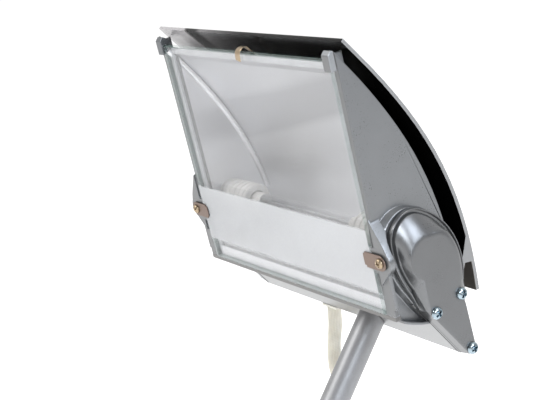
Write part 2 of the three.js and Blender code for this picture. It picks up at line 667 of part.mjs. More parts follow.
// Cross recess sunk into the top of a screw's head
const crossRecess = (top, outward, span) => {
  const aim = new THREE.Quaternion().setFromUnitVectors(point(0, 0, 1), outward);
  const place = new THREE.Matrix4().compose(top, aim, point(1, 1, 1));
  const bars = [[RECESS_WIDTH, span], [span, RECESS_WIDTH]].map(([width, length]) =>
    solidOf(moved(new THREE.BoxGeometry(width, length, RECESS_DEPTH * 2), place)));
  return join(...bars);
};

const panScrew = (seat, outward, headRadius, headHeight, shankRadius, length) => {
  const profile = [
    [0, -length], [shankRadius, -length], [shankRadius, 0], [headRadius, 0],
    [headRadius, headHeight * 0.4], [headRadius * 0.7, headHeight * 0.9], [0, headHeight],
  ];
  const screw = turned(profile, seat, outward, SMALL_ROUND);
  const top = seat.clone().addScaledVector(outward, headHeight);
  return cut(screw, crossRecess(top, outward, (RECESS_SPAN * headRadius) / CAP_SCREW_HEAD));
};

const buildClipScrew = () =>
  panScrew(
    clipPoint(clipFront - GAP), point(0, -1, 0), CLIP_SCREW_HEAD,
    CLIP_SCREW_HEIGHT, CLIP_SCREW_SHANK, LUG_DEPTH,
  );

const capBack = BODY_HALF_LENGTH + CAP_SEAL + 2 * GAP;
const buildCap = () => {
  const flange = prism(capOutline(FLANGE_WIDTH), capBack, capBack + CAP_FLANGE);
  const dome = loft(domeFoot(0), capBack + CAP_FLANGE - 0.2, domeTop(0), CAP_FACE_X);
  const tail = prism(tailOutline(0), capBack, CAP_FACE_X);
  const domeHollow = loft(domeFoot(CAP_WALL), capBack - 0.5, domeTop(CAP_WALL), CAP_FACE_X - CAP_WALL);
  const tailHollow = prism(tailOutline(CAP_WALL + 0.4), capBack - 1, CAP_FACE_X - CAP_WALL);
  const posts = CAP_SCREWS.map(
    ([y, z]) => rodX(y, z, capBack - 2, CAP_FACE_X, CAP_SCREW_SHANK + 2, SMALL_ROUND),
  );
  const hollow = cut(join(domeHollow, tailHollow), ...posts);
  const holes = capScrewBores(TOOL_INNER_X, TOOL_OUTER_X);
  return cut(join(flange, dome, tail), hollow, ...holes);
};

const tailOutline = (inset) => reversed([
  slantAt(BOX_BOTTOM_Z + inset, inset),
  slantAt(TAIL_START_Z, inset),
  vec(23 + inset, 0),
  vec(30, 5),
  vec(40, 5),
  vec(BOX_REAR_Y - inset, 0.5),
  vec(BOX_REAR_Y - inset, BOX_BOTTOM_Z + inset),
]);

const buildCapSeal = () => {
  const x0 = BODY_HALF_LENGTH + GAP;
  const x1 = x0 + CAP_SEAL;
  const opening = cut(
    prism(capOutline(-1.8, 3), x0 - 1, x1 + 1),
    ...CAP_SCREWS.map(([y, z]) => rodX(y, z, x0 - 2, x1 + 2, CAP_SCREW_SHANK + 1.6, SMALL_ROUND)),
  );
  const holes = capScrewBores(TOOL_INNER_X, TOOL_OUTER_X);
  return cut(prism(capOutline(FLANGE_WIDTH - 0.5, 0.4), x0, x1), opening, ...holes);
};

// Lamp
const buildLampTube = () => {
  const tube = rodX(LAMP_Y, LAMP_Z, -LAMP_TUBE_HALF, LAMP_TUBE_HALF, LAMP_TUBE_RADIUS);
  const chamber = rodX(
    LAMP_Y, LAMP_Z, 6 - LAMP_TUBE_HALF, LAMP_TUBE_HALF - 6, LAMP_TUBE_RADIUS - LAMP_TUBE_WALL,
  );
  const passage = rodX(
    LAMP_Y, LAMP_Z, -LAMP_HALF_LENGTH, LAMP_HALF_LENGTH, FILAMENT_RADIUS + BORE_CLEARANCE, 12,
  );
  return cut(tube, chamber, passage);
};

const buildLampCap = () => {
  const cap = rodX(LAMP_Y, LAMP_Z, LAMP_TUBE_HALF + GAP, LAMP_HALF_LENGTH, LAMP_CAP_RADIUS);
  const recess = rodX(LAMP_Y, LAMP_Z, LAMP_HALF_LENGTH - LAMP_CONTACT_DEPTH, LAMP_HALF_LENGTH + 3, 2.6, 16);
  return cut(cap, recess);
};

const holderFlangeX = CHEEK_OUTER_X - 0.5 + GAP;
const holderEndX = holderFlangeX + HOLDER_FLANGE;
const buildHolder = () => {
  const barrel = rodX(LAMP_Y, LAMP_Z, HOLDER_FRONT_X, holderEndX, HOLDER_RADIUS, FINE_ROUND);
  const flange = rodX(LAMP_Y, LAMP_Z, holderFlangeX, holderEndX, HOLDER_FLANGE_RADIUS, FINE_ROUND);
  const socket = rodX(LAMP_Y, LAMP_Z, LAMP_TUBE_HALF, LAMP_HALF_LENGTH + 1.5, LAMP_CAP_RADIUS + 0.6);
  const bore = rodX(LAMP_Y, LAMP_Z, LAMP_TUBE_HALF, TOOL_OUTER_X, PLUNGER_RADIUS + BORE_CLEARANCE, 16);
  return cut(join(barrel, flange), socket, bore);
};

const plungerTip = LAMP_HALF_LENGTH - LAMP_CONTACT_DEPTH + GAP;
const buildPlunger = () => turned(
  [[0, 0], [1.3, 0.3], [PLUNGER_RADIUS, 1.4], [PLUNGER_RADIUS, PLUNGER_LENGTH], [0, PLUNGER_LENGTH]],
  point(plungerTip, LAMP_Y, LAMP_Z), point(1, 0, 0), 16,
);

// Wiring in the box
const BLOCK_X = -6;
const BLOCK_HALF = 13;
const BLOCK_Y = 33;
const BLOCK_Z = -24;
const POLE_PITCH = 8.6;
const blockRearY = BOX_REAR_Y - BOX_WALL - GAP;
const buildTerminalBlock = () => {
  const base = block(BLOCK_X - BLOCK_HALF, BLOCK_X + BLOCK_HALF, BLOCK_Y + 3, blockRearY, BLOCK_Z, -9.5);
  const poles = [-1, 0, 1].map((i) => {
    const middle = BLOCK_X + i * POLE_PITCH;
    return block(middle - 3.2, middle + 3.2, BLOCK_Y, BLOCK_Y + 4, BLOCK_Z + 1.5, -11);
  });
  const wireHoles = [-1, 0, 1].map((i) => rod(
    point(BLOCK_X + i * POLE_PITCH, BLOCK_Y + 5.5, BLOCK_Z - 1),
    point(BLOCK_X + i * POLE_PITCH, BLOCK_Y + 5.5, -8), 1.6, 12,
  ));
  return cut(join(base, ...poles), ...wireHoles);
};

const buildEarthScrew = () =>
  panScrew(point(EARTH_X, blockRearY, EARTH_Z), point(0, -1, 0), 3.4, 2.2, EARTH_SHANK, BOX_WALL + 1.2);

// A round cord along a curve
const cordAlong = (curve, width, depth, sides, steps) => {
  const frames = curve.computeFrenetFrames(steps, false);
  const rings = Array.from({ length: steps + 1 }, (_, i) => {
    const centre = curve.getPointAt(i / steps);
    return Array.from({ length: sides }, (_unused, k) => {
      const turn = (2 * Math.PI * k) / sides;
      return centre.clone()
        .addScaledVector(frames.normals[i], (Math.cos(turn) * width) / 2)
        .addScaledVector(frames.binormals[i], (Math.sin(turn) * depth) / 2);
    });
  });
  return skin(rings);
};

const WIRE_DIAMETER = 2.4;
const buildWire = (startX, side) => {
  const endX = BODY_HALF_LENGTH;
  const route = [
    [startX, 38.5, BLOCK_Z + 6], [startX, 38.5, BLOCK_Z - 0.5], [startX + 2.5, 38.6, BLOCK_Z - 4],
    [startX + 7, 38.8, BLOCK_Z - 4], [startX + 12, 39, BLOCK_Z + 0.5], [36, 39.6, -15.2],
    [50, 38, -15.5], [endX - 13.5, 37.5, -16], [endX - 1.5, 36.5, -14],
    [endX + 4, 34, -7], [endX + 4.7, 31, 2], [endX + 4.1, LAMP_Y + 5.5, LAMP_Z - 21],
    [endX + 2.7, LAMP_Y + 3.5, LAMP_Z - 10], [endX + 0.7, LAMP_Y + 1, LAMP_Z - 2.5],
  ].map(([x, y, z]) => point(x, y, z));
  const cord = cordAlong(new THREE.CatmullRomCurve3(route), WIRE_DIAMETER, WIRE_DIAMETER, 6, 30);
  return side > 0 ? cord : mirrored(cord);
};

// Grommet that fills the slot in the foot of the box
const grommetTop = -34;
const grommetFlange = 1.5;
const buildBoxGrommet = () => {
  const stem = block(SLEEVE_X - 6.7, SLEEVE_X + 6.7, 39.3, 44.7, BOX_BOTTOM_Z - GAP - 0.1, grommetTop);
  const lip = block(
    SLEEVE_X - 7.6, SLEEVE_X + 7.6, 38.6, 45.8, BOX_BOTTOM_Z - GAP - grommetFlange, BOX_BOTTOM_Z - GAP,
  );
  return cut(join(stem, lip), rod(point(SLEEVE_X, SLEEVE_Y, -50), point(SLEEVE_X, SLEEVE_Y, -30), 1.8, 12));
};

// Swivel bolt, washer and nut through the slanted wall
const nutSeat = BOX_WALL + GAP + SWIVEL_WASHER + GAP;
const boltTop = nutSeat + SWIVEL_NUT_HEIGHT + 0.9;
const buildSwivelBolt = () => rod(alongBolt(-SWIVEL_THREAD), alongBolt(boltTop), SWIVEL_BOLT_RADIUS, 20);

const ringAbout = (start, direction, inner, outer, height, sides) => turned(
  [[inner, 0], [outer, 0], [outer, height], [inner, height], [inner, 0]], start, direction, sides,
);

const buildSwivelWasher = () =>
  ringAbout(alongBolt(BOX_WALL + GAP), boltIn, SWIVEL_BOLT_RADIUS + BORE_CLEARANCE, 5.8, SWIVEL_WASHER, 24);
const buildSwivelNut = () => {
  const across = SWIVEL_NUT_RADIUS;
  const nut = rod(alongBolt(nutSeat), alongBolt(nutSeat + SWIVEL_NUT_HEIGHT), across, 6);
  return cut(nut, rod(alongBolt(0), alongBolt(20), SWIVEL_BOLT_RADIUS + BORE_CLEARANCE, 20));
};

addPiece(head, 'body_extrusion', buildBody(), FINISHES.silverPaint);
addPair('cheek', buildCheek, FINISHES.silverPaint);
addPiece(head, 'front_rail', buildRail(), FINISHES.anodised);
addPiece(head, 'glass', buildGlass(), FINISHES.glass);
addPiece(head, 'glass_seal', buildSeal(), FINISHES.rubber);
addPiece(head, 'lamp_housing', buildHousing(), FINISHES.darkPaint);
addPiece(head, 'reflector', buildReflector(), FINISHES.brightSheet);
addPair('reflector_side', buildReflectorSide, FINISHES.brightSheet);
addPiece(head, 'top_spring_clip', buildTopClip(), FINISHES.brass);
addPair('glass_clip', buildClip, FINISHES.spring);
addPair('clip_screw', buildClipScrew, FINISHES.brass);
addPair('end_cap', buildCap, FINISHES.silverPaint);
addPair('cap_seal', buildCapSeal, FINISHES.rubber);
CAP_SCREWS.forEach(([y, z], i) => addPair(
  `cap_screw_${i + 1}`,
  () => panScrew(
    point(CAP_FACE_X + GAP, y, z), point(1, 0, 0),
    CAP_SCREW_HEAD, CAP_SCREW_HEIGHT, CAP_SCREW_SHANK, CAP_SCREW_LENGTH,
  ),
  FINISHES.zinc,
));
addPiece(head, 'lamp_tube', buildLampTube(), FINISHES.quartz);
addPiece(
  head, 'filament', rodX(LAMP_Y, LAMP_Z, -LAMP_TUBE_HALF, LAMP_TUBE_HALF, FILAMENT_RADIUS, 10), FINISHES.zinc,
);
addPair('lamp_cap', buildLampCap, FINISHES.ceramic);
addPair('lamp_holder', buildHolder, FINISHES.ceramic);
addPair('contact_plunger', buildPlunger, FINISHES.brass);
addPiece(head, 'terminal_block', buildTerminalBlock(), FINISHES.ceramic);
addPiece(head, 'earth_screw', buildEarthScrew(), FINISHES.zinc);
addPiece(head, 'lead_wire_right', buildWire(BLOCK_X + POLE_PITCH, 1), FINISHES.wire);
addPiece(head, 'lead_wire_left', buildWire(POLE_PITCH - BLOCK_X, -1), FINISHES.wire);
addPiece(head, 'box_grommet', buildBoxGrommet(), FINISHES.rubber);
addPiece(head, 'swivel_bolt', buildSwivelBolt(), FINISHES.zinc);
addPiece(head, 'swivel_washer', buildSwivelWasher(), FINISHES.zinc);
addPiece(head, 'swivel_nut', buildSwivelNut(), FINISHES.zinc);

// Arm, in the frame of the wall plate: it runs level from the tilt bolt, bends up and meets the head

const tubeStartY = TILT_Y + 18;
const bendStart = point(0, tubeStartY + TUBE_LOWER, 0);
const bendCentre = point(0, bendStart.y, TUBE_BEND_RADIUS);
const armUp = point(0, Math.cos(TUBE_RISE), Math.sin(TUBE_RISE));
const bendEnd = point(
  0, bendCentre.y + TUBE_BEND_RADIUS * Math.sin(TUBE_RISE),
  bendCentre.z - TUBE_BEND_RADIUS * Math.cos(TUBE_RISE),
);
const armTop = bendEnd.clone().addScaledVector(armUp, TUBE_UPPER);

head.rotation.x = HEAD_TILT;
head.position.copy(armTop.clone().sub(boltPoint.clone().applyEuler(head.rotation)));
head.updateMatrixWorld(true);
const toWorld = (p) => p.clone().applyMatrix4(head.matrixWorld);
const wallNormal = boltOut.clone().applyEuler(head.rotation);

const ringAt = (centre, direction, radius, sides) => {
  const side = point(1, 0, 0);
  const up = new THREE.Vector3().crossVectors(side, direction);
  return Array.from({ length: sides }, (_, k) => {
    const turn = (2 * Math.PI * k) / sides;
    const across = centre.clone().addScaledVector(side, radius * Math.cos(turn));
    return across.addScaledVector(up, -radius * Math.sin(turn));
  });
};

const ARM_SIDES = 20;
const BEND_STEPS = 8;
const armRings = (radius, extra) => {
  const level = point(0, 1, 0);
  const rings = [ringAt(point(0, tubeStartY - extra, 0), level, radius, ARM_SIDES)];
  for (let i = 0; i <= BEND_STEPS; i += 1) {
    const turn = (TUBE_RISE * i) / BEND_STEPS;
    const direction = point(0, Math.cos(turn), Math.sin(turn));
    const centre = point(
      0, bendCentre.y + TUBE_BEND_RADIUS * Math.sin(turn), bendCentre.z - TUBE_BEND_RADIUS * Math.cos(turn),
    );
    rings.push(ringAt(centre, direction, radius, ARM_SIDES));
  }
  rings.push(mitredRing(radius, GAP - extra));
  return rings;
};

// Ring at the top of the tube, drawn out along the tube until it lies on the slanted wall
const mitredRing = (radius, clearance) => ringAt(bendEnd, armUp, radius, ARM_SIDES).map((p) => {
  const target = armTop.clone().addScaledVector(wallNormal, clearance);
  const distance = target.sub(p).dot(wallNormal) / armUp.dot(wallNormal);
  return p.addScaledVector(armUp, distance);
});

// Where the sleeve enters the side of the tube
const entryAxis = armTop.clone().addScaledVector(armUp, -SLEEVE_ENTRY);
const entryBack = new THREE.Vector3().crossVectors(point(-1, 0, 0), armUp);
const entryOut = point(-Math.cos(SLEEVE_ENTRY_TURN), 0, 0).addScaledVector(
  entryBack, Math.sin(SLEEVE_ENTRY_TURN),
);
const entryAt = (distance) => entryAxis.clone().addScaledVector(entryOut, distance);
const ENTRY_HOLE = 4.4;
const ENTRY_FLANGE_RADIUS = 6;
const ENTRY_FLANGE_TOP = 11;

// Where the mains lead leaves the tube, close to its lower end
const leadAxis = point(0, tubeStartY + 40, 0);
const leadDown = point(0, 0, -1);
const leadAt = (distance) => leadAxis.clone().addScaledVector(leadDown, distance);

const buildArmTube = () => cut(
  skin(armRings(TUBE_RADIUS, 0)),
  skin(armRings(TUBE_RADIUS - TUBE_WALL, 3)),
  rod(entryAt(3), entryAt(14), ENTRY_HOLE + BORE_CLEARANCE, SMALL_ROUND),
  rod(leadAt(3), leadAt(14), ENTRY_HOLE + BORE_CLEARANCE, SMALL_ROUND),
);

const plugRadius = TUBE_RADIUS - TUBE_WALL - GAP;
const buildEndPlug = () => {
  const top = mitredRing(plugRadius, GAP);
  const bottom = ringAt(armTop.clone().addScaledVector(armUp, -PLUG_LENGTH), armUp, plugRadius, ARM_SIDES);
  const bore = rod(
    armTop.clone().addScaledVector(wallNormal, -3),
    armTop.clone().addScaledVector(wallNormal, SWIVEL_THREAD + 2),
    SWIVEL_BOLT_RADIUS + BORE_CLEARANCE, 20,
  );
  return cut(skin([bottom, top]), bore);
};

const saddleGrommet = (at, axisPoint, axisDirection) => {
  const flange = rod(at(3), at(ENTRY_FLANGE_TOP), ENTRY_FLANGE_RADIUS);
  const reach = axisDirection.clone().multiplyScalar(30);
  const keepClear = rod(
    axisPoint.clone().sub(reach), axisPoint.clone().add(reach), TUBE_RADIUS + GAP, FINE_ROUND,
  );
  const stem = rod(at(TUBE_RADIUS - TUBE_WALL - 0.8), at(ENTRY_FLANGE_TOP - 0.5), ENTRY_HOLE, SMALL_ROUND);
  return cut(join(cut(flange, keepClear), stem), rod(at(0), at(20), 1.8, 12));
};

// Lower plug with the flat tongue that the fork holds
const buildTongue = () => {
  const plug = rod(point(0, tubeStartY - 3, 0), point(0, tubeStartY + 18, 0), plugRadius);
  const collar = rod(point(0, tubeStartY - 4, 0), point(0, tubeStartY - GAP, 0), TUBE_RADIUS);
  const tongue = block(-TONGUE_HALF, TONGUE_HALF, TILT_Y, tubeStartY - 3, -TONGUE_RADIUS, TONGUE_RADIUS);
  const tip = rodX(TILT_Y, 0, -TONGUE_HALF, TONGUE_HALF, TONGUE_RADIUS);
  const bore = rodX(TILT_Y, 0, -20, 20, TILT_BOLT_RADIUS + BORE_CLEARANCE);
  return cut(join(plug, collar, tongue, tip), bore);
};

// Sleeve: one loose curve from the box to the tube, its points in the head's frame
const sleeveExitZ = BOX_BOTTOM_Z - 4 * GAP - grommetFlange;
const SLEEVE_LEAD = 12;
const SLEEVE_ROUTE = [
  [SLEEVE_X, SLEEVE_Y, sleeveExitZ], [-26.6, 39.6, -56], [-23.2, 33.2, -67.2],
  [-14.4, 25.4, -75.6], [-3, 19, -77.6],
];
const buildSleeve = () => {
  const points = SLEEVE_ROUTE.map(([x, y, z]) => toWorld(point(x, y, z)));
  points.push(...[SLEEVE_LEAD, 0].map((lead) => entryAt(ENTRY_FLANGE_TOP + GAP + lead)));
  return cordAlong(
    new THREE.CatmullRomCurve3(points, false, 'centripetal'), SLEEVE_WIDTH, SLEEVE_DEPTH, 10, 20,
  );
};

addPiece(world, 'arm_tube', buildArmTube(), FINISHES.steelTube);
addPiece(world, 'arm_end_plug', buildEndPlug(), FINISHES.zinc);
addPiece(world, 'sleeve_grommet', saddleGrommet(entryAt, entryAxis, armUp), FINISHES.rubber);
addPiece(world, 'lead_grommet', saddleGrommet(leadAt, leadAxis, point(0, 1, 0)), FINISHES.rubber);
addPiece(world, 'arm_tongue', buildTongue(), FINISHES.darkPaint);
addPiece(world, 'wire_sleeve', buildSleeve(), FINISHES.sleeve);

// Wall bracket

const earOuter = EAR_Z + EAR_THICKNESS;
const buildWallPlate = () => {
  const halfWidth = PLATE_WIDTH / 2;
  const halfHeight = PLATE_HEIGHT / 2;
  const shape = new THREE.Shape();
  const corner = 8;
  shape.absarc(halfWidth - corner, halfHeight - corner, corner, 0, Math.PI / 2);
  shape.absarc(corner - halfWidth, halfHeight - corner, corner, Math.PI / 2, Math.PI);
  shape.absarc(corner - halfWidth, corner - halfHeight, corner, Math.PI, 1.5 * Math.PI);
  shape.absarc(halfWidth - corner, corner - halfHeight, corner, 1.5 * Math.PI, 2 * Math.PI);
  const plate = slab(shape, 0, PLATE_THICKNESS);
  const ears = [-1, 1].map((side) => {
    const low = side > 0 ? EAR_Z : -earOuter;
    const high = low + EAR_THICKNESS;
    const web = block(-EAR_WIDTH / 2, EAR_WIDTH / 2, PLATE_THICKNESS - 1, SWING_Y, low, high);
    return join(web, rod(point(0, SWING_Y, low), point(0, SWING_Y, high), EAR_WIDTH / 2));
  });
  const pinBore = rod(point(0, SWING_Y, -40), point(0, SWING_Y, 40), SWING_PIN_RADIUS + BORE_CLEARANCE);
  const holes = [-1, 1].flatMap((sx) => [-1, 1].map((sz) => {
    const x = (sx * PLATE_HOLE_SPREAD_X) / 2;
    const z = (sz * PLATE_HOLE_SPREAD_Z) / 2;
    return rod(point(x, -2, z), point(x, 10, z), PLATE_HOLE_RADIUS, SMALL_ROUND);
  }));
  return cut(join(plate, ...ears), pinBore, ...holes);
};

const pinHeadZ = earOuter + GAP;
const buildSwingPin = () => {
  const head6 = rod(point(0, SWING_Y, pinHeadZ), point(0, SWING_Y, pinHeadZ + 5), 7.2, 6);
  const shank = rod(point(0, SWING_Y, -pinHeadZ - 9), point(0, SWING_Y, pinHeadZ + 1), SWING_PIN_RADIUS);
  return join(head6, shank);
};
const buildSwingNut = () => {
  const nut = rod(point(0, SWING_Y, -pinHeadZ - 6.5), point(0, SWING_Y, -pinHeadZ), 7.2, 6);
  return cut(nut, rod(point(0, SWING_Y, -60), point(0, SWING_Y, 0), SWING_PIN_RADIUS + BORE_CLEARANCE));
};

const hubHalf = EAR_Z - GAP;
const forkInner = TONGUE_HALF + GAP;
const forkOuter = forkInner + FORK_CHEEK;
const FORK_TIP_RADIUS = 9;
const buildFork = () => {
  const hub = rod(point(0, SWING_Y, -hubHalf), point(0, SWING_Y, hubHalf), SWING_HUB_RADIUS);
  const yoke = block(
    -forkOuter, forkOuter, SWING_Y, TILT_Y - TONGUE_RADIUS - 3, -FORK_TIP_RADIUS, FORK_TIP_RADIUS,
  );
  const sides = [-1, 1].map((side) => {
    const low = side > 0 ? forkInner : -forkOuter;
    const high = low + FORK_CHEEK;
    const arm = block(low, high, SWING_Y + SWING_HUB_RADIUS, TILT_Y, -FORK_TIP_RADIUS, FORK_TIP_RADIUS);
    return join(arm, rodX(TILT_Y, 0, low, high, FORK_TIP_RADIUS));
  });
  const pinBore = rod(point(0, SWING_Y, -40), point(0, SWING_Y, 40), SWING_PIN_RADIUS + BORE_CLEARANCE);
  const tiltBore = rodX(TILT_Y, 0, -30, 30, TILT_BOLT_RADIUS + BORE_CLEARANCE);
  return cut(join(hub, yoke, ...sides), pinBore, tiltBore);
};

const washerX = forkOuter + GAP;
const WASHER_THICKNESS = 1.2;
const knobX = washerX + WASHER_THICKNESS + GAP;
const buildTiltBolt = () => {
  const head6 = rodX(TILT_Y, 0, -forkOuter - GAP - 4, -forkOuter - GAP, 5.8, 6);
  return join(head6, rodX(TILT_Y, 0, -forkOuter - 2, knobX + KNOB_LENGTH - 4, TILT_BOLT_RADIUS));
};
const buildTiltWasher = () => ringAbout(
  point(washerX, TILT_Y, 0), point(1, 0, 0), TILT_BOLT_RADIUS + BORE_CLEARANCE, 7, WASHER_THICKNESS, 24,
);

// Star knob with lobes
const KNOB_LOBES = 6;
const buildKnob = () => {
  const outline = Array.from({ length: KNOB_LOBES * 8 }, (_, i) => {
    const turn = (2 * Math.PI * i) / (KNOB_LOBES * 8);
    const radius = KNOB_RADIUS - 1.6 + 1.6 * Math.cos(KNOB_LOBES * turn);
    return vec(TILT_Y + radius * Math.cos(turn), radius * Math.sin(turn));
  });
  const hub = rodX(TILT_Y, 0, knobX, knobX + 5, 7.5);
  const star = prism(outline, knobX + 4, knobX + KNOB_LENGTH);
  const bore = rodX(TILT_Y, 0, knobX - 1, knobX + KNOB_LENGTH - 3, TILT_BOLT_RADIUS + BORE_CLEARANCE);
  return cut(join(hub, star), bore);
};

addPiece(world, 'wall_plate', buildWallPlate(), FINISHES.silverPaint);
addPiece(world, 'swing_pin', buildSwingPin(), FINISHES.zinc);
addPiece(world, 'swing_nut', buildSwingNut(), FINISHES.zinc);
addPiece(world, 'fork', buildFork(), FINISHES.silverPaint);
addPiece(world, 'tilt_bolt', buildTiltBolt(), FINISHES.zinc);
addPiece(world, 'tilt_washer', buildTiltWasher(), FINISHES.zinc);
addPiece(world, 'tilt_knob', buildKnob(), FINISHES.plastic);

body.add(head, world);
export default body;
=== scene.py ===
# %% [markdown]
# # A halogen floodlight on a tube arm
# The solids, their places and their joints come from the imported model. This script dresses them:
# it gives each visible surface the shape and the finish of the real lamp, sets up a pale studio,
# and places the camera where the photographer stood.

import math

import bmesh
import bpy
import numpy as np
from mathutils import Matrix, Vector


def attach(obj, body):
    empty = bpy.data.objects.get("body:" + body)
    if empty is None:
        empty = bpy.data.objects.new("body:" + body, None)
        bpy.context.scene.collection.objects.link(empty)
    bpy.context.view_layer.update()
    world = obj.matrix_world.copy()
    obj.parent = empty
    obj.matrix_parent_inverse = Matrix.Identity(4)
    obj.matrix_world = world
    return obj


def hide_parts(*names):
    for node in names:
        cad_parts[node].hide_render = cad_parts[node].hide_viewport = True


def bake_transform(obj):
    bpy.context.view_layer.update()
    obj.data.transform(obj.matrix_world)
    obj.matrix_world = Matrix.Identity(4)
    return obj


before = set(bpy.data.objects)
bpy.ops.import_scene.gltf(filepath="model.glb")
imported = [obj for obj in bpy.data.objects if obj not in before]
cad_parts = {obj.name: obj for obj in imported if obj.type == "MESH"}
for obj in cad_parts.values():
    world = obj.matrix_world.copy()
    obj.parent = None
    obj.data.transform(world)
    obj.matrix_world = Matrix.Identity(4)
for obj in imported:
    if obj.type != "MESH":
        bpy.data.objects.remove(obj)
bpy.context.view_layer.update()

# %% [markdown]
# The lamp head is drawn in its own millimetres: X along the lamp, Y to the rear, Z up the glass, with
# zero at the middle of the glass's lower front edge. One turn about X and one shift bring any point of
# it into the model's metres, so the numbers below read like a drawing of the head.

# %% Head millimetres to metres
HEAD_TILT = math.radians(15.66)
HEAD_PLACE = np.array([-28.0, 265.476, 188.775])


def from_head(points):
    """A turn about X by the head's tilt, a shift, and a thousandth."""
    x, y, z = np.moveaxis(np.asarray(points, float), -1, 0)
    c, s = math.cos(HEAD_TILT), math.sin(HEAD_TILT)
    return (np.stack([x, c * y - s * z, s * y + c * z], -1) + HEAD_PLACE) / 1000


def turn_back(ways):
    """Directions of the model, turned back into the head's own axes."""
    x, y, z = np.moveaxis(np.asarray(ways, float), -1, 0)
    c, s = math.cos(HEAD_TILT), math.sin(HEAD_TILT)
    return np.stack([x, c * y + s * z, c * z - s * y], -1)


def to_head(points):
    """Metres of the model back to head millimetres."""
    return turn_back(np.asarray(points, float) * 1000 - HEAD_PLACE)


def to_metres(points):
    """Millimetres along the model's own axes to metres."""
    return np.asarray(points, float) / 1000


# %% [markdown]
# ## Camera
# The head fills most of the picture and its edges barely converge, so the lens is long: 85 mm on a
# 36 mm wide sensor. The camera stands above and to the right of the glass and is not rolled.

# %% Camera
CAMERA_PLACE = Vector((0.58971, -0.15650, 0.36960))
CAMERA_AIM = Vector((-0.04325, 0.25741, 0.23595))
lens = bpy.data.cameras.new("camera")
lens.lens = 85.0
lens.sensor_width = 36.0
camera = bpy.data.objects.new("camera", lens)
camera.location = CAMERA_PLACE
camera.rotation_euler = (CAMERA_AIM - CAMERA_PLACE).to_track_quat("-Z", "Y").to_euler()
bpy.context.scene.collection.objects.link(camera)
bpy.context.scene.camera = camera
print("camera to head", round((CAMERA_AIM - CAMERA_PLACE).length, 3), "m")

# %% [markdown]
# ## Shader sums
# A material is easier to read as sums than as boxes and wires. `Sum` stands for one output of a node and
# turns `+`, `-` and `*` into Math nodes. `Finish` is one material: its `node` method makes any other node
# from its type, its settings and its sockets.

# %% Sums and finishes
# A Mix node has sockets for each kind of data. These are the ones that colours go through.
MIX_FACTOR, MIX_LOW, MIX_HIGH, MIX_RESULT = 0, 6, 7, 2


class Sum:
    """One output of a node, usable in sums."""

    def __init__(self, finish, socket):
        self.finish = finish
        self.socket = socket

    def maths(self, operation, *values):
        """A Math node of one operation on one or two values."""
        return self.finish.node("ShaderNodeMath", {"operation": operation}, values)["Value"]

    def __add__(self, other):
        return self.maths("ADD", self, other)

    def __radd__(self, other):
        return self.maths("ADD", other, self)

    def __sub__(self, other):
        return self.maths("SUBTRACT", self, other)

    def __rsub__(self, other):
        return self.maths("SUBTRACT", other, self)

    def __mul__(self, other):
        return self.maths("MULTIPLY", self, other)

    def __rmul__(self, other):
        return self.maths("MULTIPLY", other, self)

    def sine(self):
        """The sine of the value in radians."""
        return self.maths("SINE", self)

    def step(self, low, high):
        """0 below low, 1 above high, and a smooth rise between them."""
        settings = {"interpolation_type": "SMOOTHSTEP"}
        sockets = {"Value": self, "From Min": low, "From Max": high}
        return self.finish.node("ShaderNodeMapRange", settings, sockets)["Result"]


class Finish:
    """One material round one Principled shader."""

    def __init__(self, name):
        self.material = bpy.data.materials.new(name)
        self.material.use_nodes = True
        self.tree = self.material.node_tree
        self.shader = self.tree.nodes["Principled BSDF"]

    def put(self, socket, value):
        """A number or a colour into a socket, or a wire from another node's output."""
        if isinstance(value, Sum):
            self.tree.links.new(value.socket, socket)
        else:
            socket.default_value = value

    def node(self, kind, settings=None, sockets=()):
        """A new node with its sockets filled by name or in order. Gives the node's outputs by name."""
        made = self.tree.nodes.new(kind)
        for key, value in (settings or {}).items():
            setattr(made, key, value)
        pairs = sockets.items() if isinstance(sockets, dict) else enumerate(sockets)
        for key, value in pairs:
            self.put(made.inputs[key], value)
        return {output.name: Sum(self, output) for output in made.outputs}

    def mix(self, mask, low, high):
        """The low colour where the mask is 0, the high colour where it is 1."""
        made = self.tree.nodes.new("ShaderNodeMix")
        made.data_type = "RGBA"
        for index, value in ((MIX_FACTOR, mask), (MIX_LOW, low), (MIX_HIGH, high)):
            self.put(made.inputs[index], value)
        return Sum(self, made.outputs[MIX_RESULT])

    def place(self):
        """Where the shaded point is, in metres, as X, Y and Z."""
        point = self.node("ShaderNodeTexCoord")["Object"]
        return self.node("ShaderNodeSeparateXYZ", {}, {"Vector": point})

    def noise(self, scale, detail, stretch=(1, 1, 1)):
        """Soft noise from -0.5 to 0.5, with its pattern drawn out where stretch is small."""
        point = self.node("ShaderNodeTexCoord")["Object"]
        mapped = self.node("ShaderNodeMapping", {}, {"Vector": point, "Scale": stretch})
        sockets = {"Vector": mapped["Vector"], "Scale": scale, "Detail": detail}
        return self.node("ShaderNodeTexNoise", {}, sockets)["Fac"] - 0.5

    def bump(self, height, strength, depth):
        """A normal bumped by a height. The depth is in metres."""
        sockets = {"Height": height, "Strength": strength, "Distance": depth}
        return self.node("ShaderNodeBump", {}, sockets)["Normal"]

    def set(self, **values):
        """Values for the Principled shader. An underscore stands for a space in a socket's name."""
        for key, value in values.items():
            self.put(self.shader.inputs[key.replace("_", " ")], value)
        return self


def grey(level, warmth):
    """A grey in linear light, warmer above 0 and cooler below it."""
    return (level * (1 + warmth), level, level * (1 - warmth), 1.0)


def shades(colour, low, high):
    """A darker and a lighter shade of a colour, neither of them above white."""
    return [tuple(min(1.0, part * share) for part in colour) + (1,) for share in (low, high)]


# %% [markdown]
# ## Finishes
# The castings and the extrusion wear one silver-grey satin paint with fine metal flake. Flake is too
# small to draw, so it shows as slight changes of roughness and tone, with a little orange peel.


